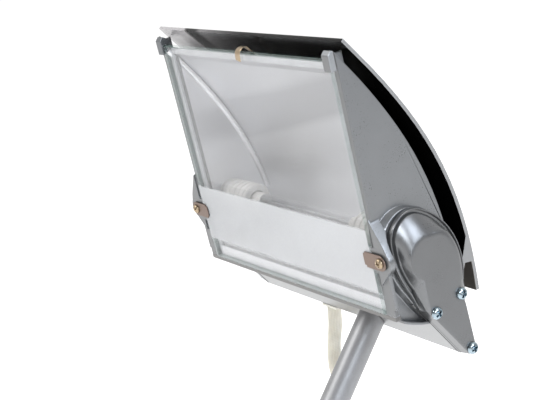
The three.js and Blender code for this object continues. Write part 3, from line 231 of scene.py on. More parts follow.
# %% Painted metals
def painted(name, level, warmth=0.0, metal=0.55, rough=0.36, peel=0.00002):
    """Satin paint. A soft cloud and a fine grain vary its tone and roughness. Peel is the orange peel's depth
    in metres."""
    finish = Finish(name)
    cloud = finish.noise(60, 3)
    grain = finish.noise(1600, 2)
    tone = cloud * 0.5 + grain * 0.35 + 0.5
    colour = finish.mix(tone, grey(level * 0.86, warmth), grey(level * 1.14, warmth))
    roughness = grain * 0.12 + cloud * 0.06 + rough
    if peel:
        finish.set(Normal=finish.bump(finish.noise(170, 2), 0.25, peel))
    finish.set(Base_Color=colour, Roughness=roughness, Metallic=metal, Coat_Weight=0.12)
    return finish.set(Coat_Roughness=0.25)


cast_paint = painted("cast_silver_paint", 0.215, -0.02, metal=0.7, rough=0.3, peel=0)
cap_paint = painted("cap_paint", 0.165, -0.01, metal=0.75, rough=0.3, peel=0)
# Darker and lighter copies of the cast paint stand in for light and shade: painted shade on the cheeks' front
# faces and feet and on the left hook, painted light on the right hook.
shaded_flange_paint = painted("shaded_flange_paint", 0.165, -0.01, rough=0.34, peel=0)
shaded_hook_paint = painted("shaded_hook_paint", 0.13, -0.05, rough=0.3)
lit_hook_paint = painted("lit_hook_paint", 0.33, -0.03, metal=0.7, rough=0.3, peel=0)
skin_paint = painted("extrusion_paint", 0.28)
# A much lighter copy of the extrusion's paint for its slanted wall: painted light.
lit_wall_paint = painted("lit_slanted_wall_paint", 0.56, 0.02, metal=0.2, rough=0.5)
bracket_paint = painted("bracket_paint", 0.33)
dark_paint = painted("dark_paint", 0.12, metal=0.4, rough=0.45)
# Near black and warm inside the drip channel: painted shade in the hollow.
shaded_drip_paint = painted("drip_channel_shade", 0.05, 0.2, metal=0.4, rough=0.45)
rail_metal = painted("rail_anodising", 0.145, 0.03, metal=0.7, rough=0.33)
black_skin = painted("black_inner_skin", 0.022, 0.02, metal=0.75, rough=0.2, peel=0.00001)

# %% [markdown]
# The cover's lining is almost black. A pale strip of painted reflection crosses it at the left end, and
# beside that a streaked painted reflection fades out. Both slant: `slope` counts millimetres across them.

# %% Cover lining
LINING_DARK = (0.005, 0.0047, 0.0047, 1)
LINING_REFLECTION = (0.4, 0.385, 0.39, 1)
REFLECTION_END = (-66, -61)
STREAKS_START, STREAKS_END = (-52, -44), (-42, 8)

lining_skin = Finish("cover_lining")
lining_place = lining_skin.place()
lining_streaks = lining_skin.noise(55, 3, (1, 0.12, 0.12))
slope = lining_place["X"] * 1000 + lining_place["Z"] * 300 + lining_streaks * 6 - 72
# Both marks are painted reflections on the dark lining: a pale strip, and streaks that fade out.
painted_reflection = 1 - slope.step(*REFLECTION_END)
streaked_reflection = slope.step(*STREAKS_START) - slope.step(*STREAKS_END)
lit = painted_reflection + streaked_reflection * (lining_streaks * 0.9 + 0.36)
lining_skin.set(Base_Color=lining_skin.mix(lit, LINING_DARK, LINING_REFLECTION))
lining_skin.set(Metallic=0.75 - painted_reflection * 0.6, Roughness=lining_streaks * 0.15 + 0.24)

# %% [markdown]
# Bare metals differ in colour and roughness. The reflector is rolled bright sheet with broad soft waves,
# the clips are dull bronze, and the screws have blue zinc plating.


# %% Bare metals
def bare(name, colour, rough, depth=0.000008, spread=0.1):
    """Bare metal. Fine marks and a soft cloud vary its tone and, by spread, its roughness."""
    finish = Finish(name)
    marks = finish.noise(900, 3)
    cloud = finish.noise(130, 2)
    tone = marks * 0.6 + cloud + 0.5
    finish.set(Base_Color=finish.mix(tone, *shades(colour, 0.85, 1.1)), Metallic=1.0)
    finish.set(Roughness=marks * spread + cloud * spread + rough)
    return finish.set(Normal=finish.bump(marks, 0.2, depth))


DARK_REFLECTION_START, DARK_REFLECTION_END = (283, 295), (301, 315)


def painted_dark_reflection(finish, wave):
    """1 along a broad slanting streak, Z less a fifth of X: a painted dark reflection, where the sheet
    mirrors something darker.
    """
    place = finish.place()
    height = place["Z"] * 1000 - place["X"] * 205 + wave * 12
    return height.step(*DARK_REFLECTION_START) - height.step(*DARK_REFLECTION_END)


bright_sheet = Finish("reflector_sheet")
sheet_wave = bright_sheet.noise(9, 2, (0.35, 1, 1))
sheet_place = bright_sheet.place()
# The tone lightens towards the right and the bottom as a painted reflection, and the dark streak is a painted
# reflection too.
sheet_tone = sheet_wave * 1.4 + sheet_place["X"] * 3 - sheet_place["Z"] * 6 + 2.38
sheet_tone = sheet_tone - painted_dark_reflection(bright_sheet, sheet_wave) * 0.8
bright_sheet.set(Base_Color=bright_sheet.mix(sheet_tone, (0.56, 0.56, 0.575, 1), (0.97, 0.97, 0.98, 1)))
bright_sheet.set(Metallic=0.9, Roughness=sheet_wave * 0.1 + 0.36)
bright_sheet.set(Normal=bright_sheet.bump(sheet_wave, 0.2, 0.004))

flank_sheet = Finish("flank_sheet")
flank_wave = flank_sheet.noise(30, 3)
# The flank carries half of the painted dark reflection.
flank_tone = flank_wave * 0.8 - painted_dark_reflection(flank_sheet, flank_wave) * 0.5 + 0.75
flank_sheet.set(Base_Color=flank_sheet.mix(flank_tone, (0.5, 0.5, 0.52, 1), (0.8, 0.8, 0.815, 1)))
flank_sheet.set(Metallic=1.0, Roughness=flank_wave * 0.1 + 0.42)

bead_sheet = bare("bead_sheet", (0.82, 0.82, 0.83), 0.55, 0.000002)
lower_sheet = bare("lower_sheet", (0.56, 0.56, 0.57), 0.5, 0.000002).set(Metallic=0.3)
bronze = bare("clip_bronze", (0.2, 0.15, 0.125), 0.4)
brass = bare("brass", (0.36, 0.28, 0.19), 0.3)
zinc = bare("blue_zinc", (0.33, 0.4, 0.44), 0.2)
dull_zinc = bare("dull_zinc", (0.5, 0.52, 0.54), 0.36)
tungsten = bare("tungsten", (0.62, 0.62, 0.63), 0.45)
tube_metal = bare("tube_paint", (0.28, 0.28, 0.285), 0.46, 0.000006, 0.06).set(Metallic=0.6)

# %% [markdown]
# The insulators are matt: unglazed ceramic with fine pits, rubber with a soft bloom, silicone on the
# wires and a pebbled black plastic on the knob.


# %% Insulators
def matt(name, colour, rough, scale, depth, sheen=0.0):
    """A matt body colour with pits of one size and depth, and a soft cloud."""
    finish = Finish(name)
    pits = finish.noise(scale, 4)
    cloud = finish.noise(90, 2)
    tone = pits * 0.7 + cloud + 0.5
    finish.set(Base_Color=finish.mix(tone, *shades(colour, 0.8, 1.12)), Roughness=cloud * 0.15 + rough)
    return finish.set(Normal=finish.bump(pits, 0.5, depth), Sheen_Weight=sheen)


ceramic = matt("ceramic", (0.6, 0.585, 0.56), 0.55, 1500, 0.00004)
rubber = matt("rubber", (0.03, 0.03, 0.032), 0.8, 900, 0.00003, 0.1)
black_plastic = matt("pebbled_plastic", (0.03, 0.03, 0.033), 0.5, 1300, 0.00006)
pale_seal = matt("seal_silicone", (0.46, 0.465, 0.475), 0.45, 700, 0.00001)
silicone = matt("wire_silicone", (0.8, 0.78, 0.7), 0.5, 700, 0.00002)

# %% [markdown]
# ## Making pieces
# Every curved surface is one array of points, rows by columns, worked out in whole-array sums. A grid of
# rings becomes a closed skin with a cap on both ends. A piece rides on its body where it has one, and the
# solids that it stands for are hidden.


# %% Skins and pieces
SIDES = ((1, "right"), (-1, "left"))


def closed_skin(rows, columns):
    """Quads between neighbouring rings, each ring closed on itself, and a cap on both ends."""
    index = np.arange(rows * columns).reshape(rows, columns)
    after = np.roll(index, -1, axis=1)
    quads = np.stack([index[:-1], index[1:], after[1:], after[:-1]], -1).reshape(-1, 4)
    return [*quads.tolist(), index[0].tolist(), index[-1, ::-1].tolist()]


def settle(made, body, finishes, nodes, sharp):
    """Outward faces, smooth shading with edges crisp above the sharp angle, and finishes. Then the body that
    carries the piece, if one does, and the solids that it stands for."""
    mesh = made.data
    shell = bmesh.new()
    shell.from_mesh(mesh)
    bmesh.ops.recalc_face_normals(shell, faces=shell.faces)
    if shell.calc_volume(signed=True) < 0:
        bmesh.ops.reverse_faces(shell, faces=shell.faces)
    shell.to_mesh(mesh)
    shell.free()
    for finish in finishes:
        mesh.materials.append(finish.material)
    mesh.polygons.foreach_set("use_smooth", np.ones(len(mesh.polygons), bool))
    mesh.set_sharp_from_angle(angle=math.radians(sharp))
    bpy.context.scene.collection.objects.link(made)
    if body:
        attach(made, body)
    if nodes:
        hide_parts(*nodes)
    return made


def piece(name, points, faces, body, finish, nodes, sharp):
    """A new mesh of points in metres and of faces, settled with one finish."""
    mesh = bpy.data.meshes.new(name)
    mesh.from_pydata(np.asarray(points, float).reshape(-1, 3).tolist(), [], faces)
    return settle(bpy.data.objects.new(name, mesh), body, [finish], nodes, sharp)


def on_head(name, rings, finish, nodes, sharp=32.0):
    """A closed skin round rings of points in head millimetres. The head carries it."""
    faces = closed_skin(*np.shape(rings)[:2])
    return piece(name, from_head(rings), faces, "head", finish, nodes, sharp)


def at_x(x, line):
    """A line of points in Y and Z, set at one X or at an X for each point."""
    return np.column_stack([np.broadcast_to(x, len(line)), line])


def rise(share):
    """0 below 0, 1 above 1, and a smooth climb between them."""
    share = np.clip(share, 0, 1)
    return share * share * (3 - 2 * share)


def sweep(path, facing, width, depth, sides):
    """Ellipses across a path. At each point the width runs square to the path and to the facing line,
    and the depth square to the path and the width. Width and depth may vary along the path."""
    along = np.gradient(path, axis=0)
    along /= np.linalg.norm(along, axis=1, keepdims=True)
    across = np.cross(along, facing)
    across /= np.linalg.norm(across, axis=1, keepdims=True)
    through = np.cross(across, along)
    turn = np.linspace(0, 2 * np.pi, sides, endpoint=False)[None, :, None]
    half_width = np.broadcast_to(width, len(path))[:, None, None] / 2
    half_depth = np.broadcast_to(depth, len(path))[:, None, None] / 2
    ring = across[:, None] * np.cos(turn) * half_width + through[:, None] * np.sin(turn) * half_depth
    return path[:, None] + ring


def smooth_route(knots, steps):
    """A curve through every knot, whose pace between two knots is the square root of their distance."""
    knots = np.vstack([2 * knots[0] - knots[1], knots, 2 * knots[-1] - knots[-2]])
    pace = np.sqrt(np.linalg.norm(np.diff(knots, axis=0), axis=1))[:, None]
    before, here, after = pace[:-2], pace[1:-1], pace[2:]
    k0, k1, k2, k3 = knots[:-3], knots[1:-2], knots[2:-1], knots[3:]
    leave = here * ((k1 - k0) / before - (k2 - k0) / (before + here) + (k2 - k1) / here)
    arrive = here * ((k2 - k1) / here - (k3 - k1) / (here + after) + (k3 - k2) / after)
    t = np.linspace(0, 1, steps, endpoint=False)[None, :, None]
    k1, k2, leave, arrive = (part[:, None] for part in (k1, k2, leave, arrive))
    climb = rise(t)
    curve = k1 * (1 - climb) + k2 * climb + leave * t * (1 - t) ** 2 - arrive * t * t * (1 - t)
    return np.vstack([curve.reshape(-1, 3), knots[-2]])


# %% [markdown]
# ## Sleeve
# A soft pale sleeve takes the lead from the box into the tube. It is wide and limp, so it lies flattened
# and hangs in one loose bend, with fine ribs along it where the braid shows through. It is a ring swept
# along a route with its flat side to the front. The photograph shows less than half of it, between the
# box and the tube, and the rest of the route is a guess.

# %% Sleeve
SLEEVE_WIDTH = 0.009
SLEEVE_DEPTH = 0.006
SLEEVE_FACING = (0.8, -0.55, 0.2)
SLEEVE_SIDES = 36
SLEEVE_STEPS = 10
EASE_SHARE, EASE_TURN = 0.035, 15
HEAD_KNOTS = [
    (-27, 42.2, -44.2), (-26.6, 39.6, -56), (-23.2, 33.2, -67.2), (-14.4, 25.4, -75.6), (-3, 19, -77.6),
]
TUBE_KNOTS = [(-17.85, 298.15, 120.42), (-8.66, 291.44, 124.21)]

sleeve_knots = np.vstack([from_head(HEAD_KNOTS), to_metres(TUBE_KNOTS)])
sleeve_path = smooth_route(sleeve_knots, SLEEVE_STEPS)
sleeve_steps = np.linalg.norm(np.diff(sleeve_path, axis=0), axis=1)
sleeve_length = float(sleeve_steps.sum())
sleeve_share = np.concatenate([[0], np.cumsum(sleeve_steps)]) / sleeve_length
ease = 1 + EASE_SHARE * np.sin(sleeve_share * EASE_TURN) * np.sin(sleeve_share * np.pi)
sleeve_skin = sweep(sleeve_path, SLEEVE_FACING, SLEEVE_WIDTH * ease, SLEEVE_DEPTH / ease, SLEEVE_SIDES)

# The map runs once round the sleeve in X and once along it in Y, so these count radians of rib and braid.
RIB_TURN = 176
BRAID_RUN, BRAID_TURN = 420, 60
CREAM_DARK, CREAM_LIGHT = (0.5, 0.46, 0.37, 1), (0.86, 0.83, 0.73, 1)

weave = Finish("sleeve_weave")
along_map = weave.node("ShaderNodeUVMap", {"uv_map": "along"})["UV"]
map_axis = weave.node("ShaderNodeSeparateXYZ", {}, {"Vector": along_map})
rib_wave = (map_axis["X"] * RIB_TURN).sine()
braid = (map_axis["Y"] * BRAID_RUN + map_axis["X"] * BRAID_TURN).sine()
soil = weave.noise(140, 3)
tone = rib_wave * 0.16 + braid * 0.06 + soil * 0.7 + 0.6
weave.set(Base_Color=weave.mix(tone, CREAM_DARK, CREAM_LIGHT), Roughness=soil * 0.2 + 0.5)
weave.set(Normal=weave.bump(rib_wave * 0.6 + braid * 0.25 + soil, 0.6, 0.00025))
weave.set(Subsurface_Weight=0.15, Subsurface_Radius=(0.002, 0.0015, 0.001), Subsurface_Scale=0.3)

sleeve_faces = closed_skin(len(sleeve_path), SLEEVE_SIDES)
sleeve = piece("sleeve", sleeve_skin, sleeve_faces, None, weave, ["wire_sleeve"], 60)
around = np.arange(len(sleeve_path) * SLEEVE_SIDES) % SLEEVE_SIDES / SLEEVE_SIDES
lengthwise = np.repeat(sleeve_share, SLEEVE_SIDES)
corners = np.zeros(len(sleeve.data.loops), int)
sleeve.data.loops.foreach_get("vertex_index", corners)
layer = sleeve.data.uv_layers.new(name="along")
layer.uv.foreach_set("vector", np.stack([around[corners], lengthwise[corners]], -1).ravel())
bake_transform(sleeve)
print("sleeve length", round(sleeve_length, 4), "m")

# %% [markdown]
# ## Castings, extrusion and pressed parts
# The solids have the right shapes but knife edges. Die casting, sawing and stamping all leave a small
# round on an edge, and that round is what catches the light. Each of these pieces is a merged copy of
# its solid, with its flat faces joined and a few tenths of a millimetre rounded off.


# %% Rounded copies
MERGE_DISTANCE, SHORTEST_EDGE = 2e-6, 1e-5
FLAT_ANGLE, EDGE_ANGLE = math.radians(1.5), math.radians(32)
CRISP_DEGREES = 40


def face_vectors(mesh, name):
    """One vector of each face, as rows."""
    values = np.zeros(len(mesh.polygons) * 3)
    mesh.polygons.foreach_get(name, values)
    return values.reshape(-1, 3)


def softened(node, body, finishes, width, paint=None):
    """A merged copy of a solid with a small round on its sharp edges. paint gives each face's finish."""
    shell = bmesh.new()
    shell.from_mesh(bpy.data.objects[node].data)
    bmesh.ops.remove_doubles(shell, verts=shell.verts, dist=MERGE_DISTANCE)
    bmesh.ops.dissolve_limit(shell, angle_limit=FLAT_ANGLE, verts=shell.verts, edges=shell.edges)
    bmesh.ops.dissolve_degenerate(shell, edges=shell.edges, dist=SHORTEST_EDGE)
    inner = [edge for edge in shell.edges if len(edge.link_faces) == 2]
    edges = [edge for edge in inner if edge.calc_face_angle() > EDGE_ANGLE]
    bmesh.ops.bevel(
        shell, geom=edges, offset=width / 1000, offset_type="OFFSET", segments=2, profile=0.5, affect="EDGES",
        clamp_overlap=False, loop_slide=True, material=-1,
    )
    mesh = bpy.data.meshes.new(node + "_soft")
    shell.to_mesh(mesh)
    shell.free()
    made = settle(bpy.data.objects.new(node + "_soft", mesh), body, finishes, [node], CRISP_DEGREES)
    if paint:
        shares = paint(to_head(face_vectors(mesh, "center")), turn_back(face_vectors(mesh, "normal")))
        mesh.polygons.foreach_set("material_index", shares.astype(np.int32))
    steady = made.modifiers.new("steady_shading", "WEIGHTED_NORMAL")
    steady.keep_sharp = True


def dress(finish, *nodes):
    """The finish on solids that are shown as they are."""
    for node in nodes:
        for place in bpy.data.objects[node].material_slots:
            place.material = finish.material


SLANT_FRONT_Y, SLANT_TOP_Z = 38, -6
CHANNEL_FRONT_Y, COVER_FOOT_Z = 44, 5
HOOK_INNER_X, HOOK_REAR_Y = 80, 4.5
LEFT_HOOK_Z, RIGHT_HOOK_Z = 137, 141
GLASS_REAR_Y = 4.5


def extrusion_paint(centres, normals):
    """0 outside, 1 on the slanted wall, lighter as painted light, 2 inside the cover, 3 in the drip channel,
    near black as painted shade.
    """
    y, z = centres.T[1:]
    slanted = (y > SLANT_FRONT_Y) & (z < SLANT_TOP_Z) & (normals[:, 2] < -0.3) & (normals[:, 1] > 0.2)
    channel = (y > CHANNEL_FRONT_Y) & (z < COVER_FOOT_Z) & ~slanted & (normals[:, 1] < 0.9)
    lining = (z > COVER_FOOT_Z) & (normals[:, 1] < 0.05) & (np.abs(normals[:, 0]) < 0.5)
    return np.select([slanted, channel, lining], [1, 3, 2], 0)


def cheek_paint(centres, normals):
    """1 on the left hook and 2 on all other faces that look to the front, both darker as painted shade, 3 on
    the rest of the right hook, lighter as painted light, and 0 on the rest of the cheek."""
    x, y, z = centres.T
    front = normals[:, 1] < -0.75
    left_hook = (x < -HOOK_INNER_X) & (z > LEFT_HOOK_Z) & (y < HOOK_REAR_Y)
    right_hook = (x > HOOK_INNER_X) & (z > RIGHT_HOOK_Z) & (y < HOOK_REAR_Y)
    return np.select([left_hook, front, right_hook], [1, 2, 3], 0)


def rail_paint(centres, normals):
    """1 on the steps behind and under the glass, 0 on the rail's outside."""
    behind = (centres[:, 1] > GLASS_REAR_Y) & (normals[:, 1] < -0.5)
    return behind | (normals[:, 2] > 0.5)


EXTRUSION_PAINTS = [skin_paint, lit_wall_paint, lining_skin, shaded_drip_paint]
CHEEK_PAINTS = [cast_paint, shaded_hook_paint, shaded_flange_paint, lit_hook_paint]
softened("body_extrusion", "head", EXTRUSION_PAINTS, 0.3, extrusion_paint)
softened("cheek_right", "head", CHEEK_PAINTS, 0.4, cheek_paint)
softened("cheek_left", "head", CHEEK_PAINTS, 0.4, cheek_paint)
softened("front_rail", "head", [rail_metal, pale_seal], 0.35, rail_paint)
softened("lamp_housing", "head", [black_skin], 0.2)
softened("arm_tongue", "arm", [dark_paint], 0.4)
softened("arm_end_plug", "arm", [dark_paint], 0.3)
softened("fork", "fork", [bracket_paint], 0.5)
softened("wall_plate", "wall", [bracket_paint], 0.5)
softened("tilt_knob", "knob", [black_plastic], 0.9)
softened("glass_clip_right", "clip_right", [bronze], 0.28)
softened("glass_clip_left", "clip_left", [bronze], 0.28)

dress(pale_seal, "glass_seal")
dress(rubber, "lead_grommet")
dress(silicone, "box_grommet", "sleeve_grommet", "lead_wire_right", "lead_wire_left")
dress(bright_sheet, "reflector", "reflector_side_right", "reflector_side_left")
dress(brass, "contact_plunger_right", "contact_plunger_left")
dress(dull_zinc, "earth_screw", "swivel_bolt", "swivel_washer", "swivel_nut", "swing_pin", "swing_nut")
dress(dull_zinc, "tilt_bolt", "tilt_washer")
dress(ceramic, "lamp_cap_right", "lamp_cap_left", "terminal_block")

# %% [markdown]
# ## End caps
# A cap is one pressure casting: a flange with a raised rim and a groove inside it, a conical bevel, and a
# flat top that runs out into the tail. It is drawn as rings, all with the same number of points. A share
# that is 0 round the drop and 1 along the tail lets the inner rings climb until the flange turns into the
# tail's steep side. The edge of the flat top is crisp at the front and fades towards the rear.

# %% End caps
CAP_BACK_X = 98.9
CAP_TOP_X = 107.5
DROP_TOP = np.array([21.5, 36.5])
DROP_TOP_RADIUS = 13.2
REAR_RADIUS, REAR_ANGLE, REAR_END = 40.5, 60.8, -31.0
FRONT_RADIUS, FRONT_ANGLE, FRONT_START = 49.5, 175.3, 211.0
SLANT_POINT = np.array([38.1, -40.4])
SLANT_WAY = np.array([0.515, -0.857])
TIP_PULL = np.array([0.3, 0.7])
SHOULDER_Z = -4.6
BOX_REAR_Y, BOX_BOTTOM_Z = 45.8, -41.5
TOP_CENTRE = np.array([25.5, 24.5])
TOP_RADIUS = 13.2
BEVEL_STEPS, TOP_STEPS, LAST_STEP = 12, 8, 0.86
REAR_FROM_Y, REAR_SPAN_Y = 26, 16
TAIL_START, TAIL_START_REAR = 6, 6
TAIL_RUN, TAIL_RUN_REAR = 15, 11
WIDE_ANGLE, WIDE_SHARE, TAIL_EDGE = -8.0, 0.85, 0.03
CRISP_ANGLE, CRISP_FADE, SOFT_FADE = 150.0, 0.04, 0.3
BEVEL_SWELL = 0.07
SEAL_X = (97.65, 98.75)
SEAL_OFFSET = 2.4


def heading(degrees):
    """The unit vector in Y and Z at an angle from Y."""
    turn = np.radians(degrees)
    return np.stack([np.cos(turn), np.sin(turn)], -1)


def slant_at(z):
    """The point of the tail's slanted side at height z."""
    return SLANT_POINT + SLANT_WAY * (z - SLANT_POINT[1]) / SLANT_WAY[1]


def drop_outline(offset, inset):
    """The drop, moved out by offset, closed by the two sides of the tail, moved in by inset."""
    rear_centre = DROP_TOP - (REAR_RADIUS - DROP_TOP_RADIUS) * heading(REAR_ANGLE)
    front_centre = DROP_TOP - (FRONT_RADIUS - DROP_TOP_RADIUS) * heading(FRONT_ANGLE)
    inward = np.array([-SLANT_WAY[1], SLANT_WAY[0]])
    tip = slant_at(BOX_BOTTOM_Z) + inset * (inward + TIP_PULL)
    shoulder = slant_at(SHOULDER_Z) + inset * inward
    front = front_centre + (FRONT_RADIUS + offset) * heading(np.linspace(FRONT_START, FRONT_ANGLE, 16))
    top = DROP_TOP + (DROP_TOP_RADIUS + offset) * heading(np.linspace(FRONT_ANGLE, REAR_ANGLE, 34))
    rear = rear_centre + (REAR_RADIUS + offset) * heading(np.linspace(REAR_ANGLE, REAR_END, 26))
    foot_rear = np.array([BOX_REAR_Y - inset, BOX_BOTTOM_Z + inset])
    slant = tip + (shoulder - tip) * np.linspace(0, 1, 18)[:, None]
    back = rear[-1] + (foot_rear - rear[-1]) * np.linspace(0.06, 1, 16)[:, None] ** 1.2
    bottom = foot_rear + (tip - foot_rear) * np.linspace(0.15, 0.85, 5)[:, None]
    return np.vstack([slant, front, top[1:], rear[1:], back, bottom])


def eased_outline(round_offset, front_offset, inset):
    """The outline with one offset round the drop and another along its front, and a smooth change between."""
    climb, fall = rise(np.linspace(0, 1, 18)), rise(np.linspace(1, 0, 33))
    front = np.concatenate([np.zeros(8), climb, np.ones(8), fall, np.zeros(46)])[:, None]
    return drop_outline(round_offset, inset) * (1 - front) + drop_outline(front_offset, inset) * front


# Share of the way from the rim's outside to the groove's inner foot, X round the drop, X along the tail
RIM_RINGS = np.array([
    (0.00, CAP_BACK_X, CAP_BACK_X), (0.00, 100.65, 100.0), (0.05, 101.05, 100.3), (0.13, 101.2, 100.45),
    (0.21, 101.05, 100.7), (0.29, 100.0, 101.2), (0.36, 99.3, 102.4), (0.68, 99.3, 105.0),
    (0.76, 99.9, 106.4), (0.83, 101.05, 107.0), (0.90, 101.35, 107.3), (0.96, 101.2, 107.4),
    (1.00, 101.3, 107.42),
])
RIM_OUTLINE = (4.0, 2.2, 0.0)
FOOT_OUTLINE = (0.6, -1.4, 0.8)


def tail_share(outer):
    """0 round the drop and 1 along the tail. The change starts higher and runs longer at the rear."""
    behind = rise((outer[:, 0] - REAR_FROM_Y) / REAR_SPAN_Y)
    start = TAIL_START + TAIL_START_REAR * behind
    return rise((start - outer[:, 1]) / (TAIL_RUN + TAIL_RUN_REAR * behind))


def faded(value, fade):
    """A value cut off below 0, with the corner rounded over the width of fade."""
    return (value + np.sqrt(value * value + fade * fade)) / 2


def top_rings(x_foot, foot, tail):
    """Rings from the groove's inner foot over the bevel to the middle of the flat top. Each point moves in
    along its line to the middle, and its height is what the bevel has climbed, cut off at the top's edge."""
    arm = foot - TOP_CENTRE
    reach = np.linalg.norm(arm, axis=1)
    wide = rise(((arm @ heading(WIDE_ANGLE)) / reach - 0.15) / 0.75)
    flat = np.maximum(tail, WIDE_SHARE * wide)
    edge = (1 - TOP_RADIUS / reach) * (1 - flat) + TAIL_EDGE * flat
    fade = CRISP_FADE + SOFT_FADE * rise(0.15 - (arm @ heading(CRISP_ANGLE)) / reach) * (1 - tail)
    bevel = np.linspace(0, 1, BEVEL_STEPS + 1)[1:, None]
    inside = np.linspace(0, 1, TOP_STEPS + 1)[1:, None]
    steps = np.vstack([edge * bevel, edge + (LAST_STEP - edge) * inside])
    swell = BEVEL_SWELL * np.sin(np.pi * np.clip(steps / edge, 0, 1)) * (1 - fade)
    height = 1 - faded(1 - steps / edge, fade) / faded(np.ones_like(edge), fade) + swell
    x = x_foot + (CAP_TOP_X - x_foot) * np.minimum(height, 1)
    return np.stack([x, foot[:, 0] - arm[:, 0] * steps, foot[:, 1] - arm[:, 1] * steps], -1)


def cap_rings():
    """Rings from the seal up over the rim, the groove and the bevel to the middle of the flat top."""
    outer = eased_outline(*RIM_OUTLINE)
    foot = eased_outline(*FOOT_OUTLINE)
    tail = tail_share(outer)
    share, x_drop, x_tail = (column[:, None] for column in RIM_RINGS.T)
    rim = np.stack([
        x_drop * (1 - tail) + x_tail * tail,
        outer[:, 0] * (1 - share) + foot[:, 0] * share,
        outer[:, 1] * (1 - share) + foot[:, 1] * share,
    ], -1)
    return np.concatenate([rim, top_rings(rim[-1, :, 0], foot, tail)])


rings = cap_rings()
for side, name in SIDES:
    cap_node, seal_node = f"end_cap_{name}", f"cap_seal_{name}"
    on_head(f"{cap_node}_cast", rings * [side, 1, 1], cap_paint, [cap_node], 40)
    seal_edge = drop_outline(SEAL_OFFSET, -0.15 * side + 0.15)
    seal_rings = np.stack([at_x(side * x, seal_edge) for x in SEAL_X])
    on_head(f"{seal_node}_gasket", seal_rings, rubber, [seal_node], 30)
print("cap rings and sides", rings.shape[:2])

# %% [markdown]
# ## Screws
# The pan heads show a cross recess and a soft domed shoulder. A head is a height over a disc: a dome that
# falls off steeply at its rim, less two crossed slots with sloping walls.


# %% Screws
PAN_RINGS, PAN_SPOKES = 34, 96
PAN_WALL = 0.12
SLOT_SIDE, SLOT_END = 0.22, 0.3
CAP_SCREW_X = 107.85
# Y, Z and turn of each cap screw
CAP_SCREWS = [(22.3, -7.1, 0.5), (41.6, -3.5, 1.0), (41.9, -37.8, 0.2)]
CLIP_SCREW_X, CLIP_SCREW_Y, CLIP_SCREW_Z = 98, -1.5, 30.7
# Radius and height of each head, then width, span and depth of its slots
CAP_SCREW_HEAD = (3.6, 2.2, 1.15, 4.6, 1.6)
CLIP_SCREW_HEAD = (3.0, 1.5, 1.0, 3.8, 1.3)
CLIP_SCREW_TURN = 0.4


def slot_share(across, along, width, span):
    """1 in a slot, 0 outside it, and a slope on its sides and ends."""
    side = np.clip((width / 2 - np.abs(across)) / SLOT_SIDE + 0.5, 0, 1)
    return side * np.clip((span / 2 - np.abs(along)) / SLOT_END, 0, 1)


def pan_head(radius, height, slot_width, slot_span, slot_depth, turn):
    """Heights over a polar grid: a dome by a power of the radius, less the deeper of two crossed slots."""
    r = radius * np.concatenate([[0.01], np.linspace(0.04, 1, PAN_RINGS - 1) ** 0.8])[:, None]
    a = np.linspace(0, 2 * np.pi, PAN_SPOKES, endpoint=False)[None, :]
    u, v = r * np.cos(a - turn), r * np.sin(a - turn)
    dome = height * np.maximum(0, 1 - (r / radius) ** 3.2) ** 0.5
    slots = [slot_share(across, along, slot_width, slot_span) for across, along in ((u, v), (v, u))]
    dip = slot_depth * np.maximum(*slots)
    surface = np.stack([r * np.cos(a), r * np.sin(a), np.maximum(dome - dip, 0.05) + 0 * a], -1)
    wall = surface[-1] * [1, 1, 0]
    return np.concatenate([surface, wall[None] - [0, 0, PAN_WALL]])[::-1]


def stand_on(seat, outward, rings):
    """Rings turned from Z onto an outward axis and set on a seat."""
    outward = np.asarray(outward, float)
    across = np.cross([0.0, 0.0, 1.0], outward)
    axes = np.stack([across, np.cross(outward, across), outward])
    return rings @ axes + seat


for side, name in SIDES:
    for number, (y, z, turn) in enumerate(CAP_SCREWS, 1):
        node = f"cap_screw_{number}_{name}"
        screw = stand_on((side * CAP_SCREW_X, y, z), (side, 0, 0), pan_head(*CAP_SCREW_HEAD, turn))
        on_head(f"{node}_head", screw, zinc, [node], 35)
    node = f"clip_screw_{name}"
    seat = (side * CLIP_SCREW_X, CLIP_SCREW_Y, CLIP_SCREW_Z)
    screw = stand_on(seat, (0, -1, 0), pan_head(*CLIP_SCREW_HEAD, CLIP_SCREW_TURN))
    on_head(f"{node}_head", screw, brass, [node], 35)

# %% [markdown]
# ## Glass
# The cover glass is 4 mm float glass with ground edges that show green. Its lower part is frosted on the
# front so that the hot lamp doesn't dazzle. The frosting is a skin of a few hundredths of a millimetre,
# dense in its middle and thinning towards its upper and lower borders.


# %% Glass and frosting
PANE_LOW, PANE_HIGH = (-90, 0, -2.85), (90, 4, 143.5)
PANE_CHAMFER = 0.45
LEFT_FRONT_CHAMFER = 3
FACE_MIRROR, RIM_MIRROR = 0.05, 0.9
FROST_LOW, FROST_HIGH = (-89.4, -0.09, 8.6), (89.4, -0.03, 50.5)
FROST_EDGE = 0.01
FROST_START, FROST_END = (9.6, 12.2), (47.5, 49.5)


def slab(low, high, edge):
    """A box as four rings along Y, with its long edges chamfered by edge."""
    (x0, y0, z0), (x1, y1, z1) = low, high
    rings = []
    for y, inset in ((y0, edge), (y0 + edge, 0), (y1 - edge, 0), (y1, edge)):
        rings.append([
            (x0 + inset, y, z0 + inset), (x1 - inset, y, z0 + inset),
            (x1 - inset, y, z1 - inset), (x0 + inset, y, z1 - inset),
        ])
    return np.array(rings)


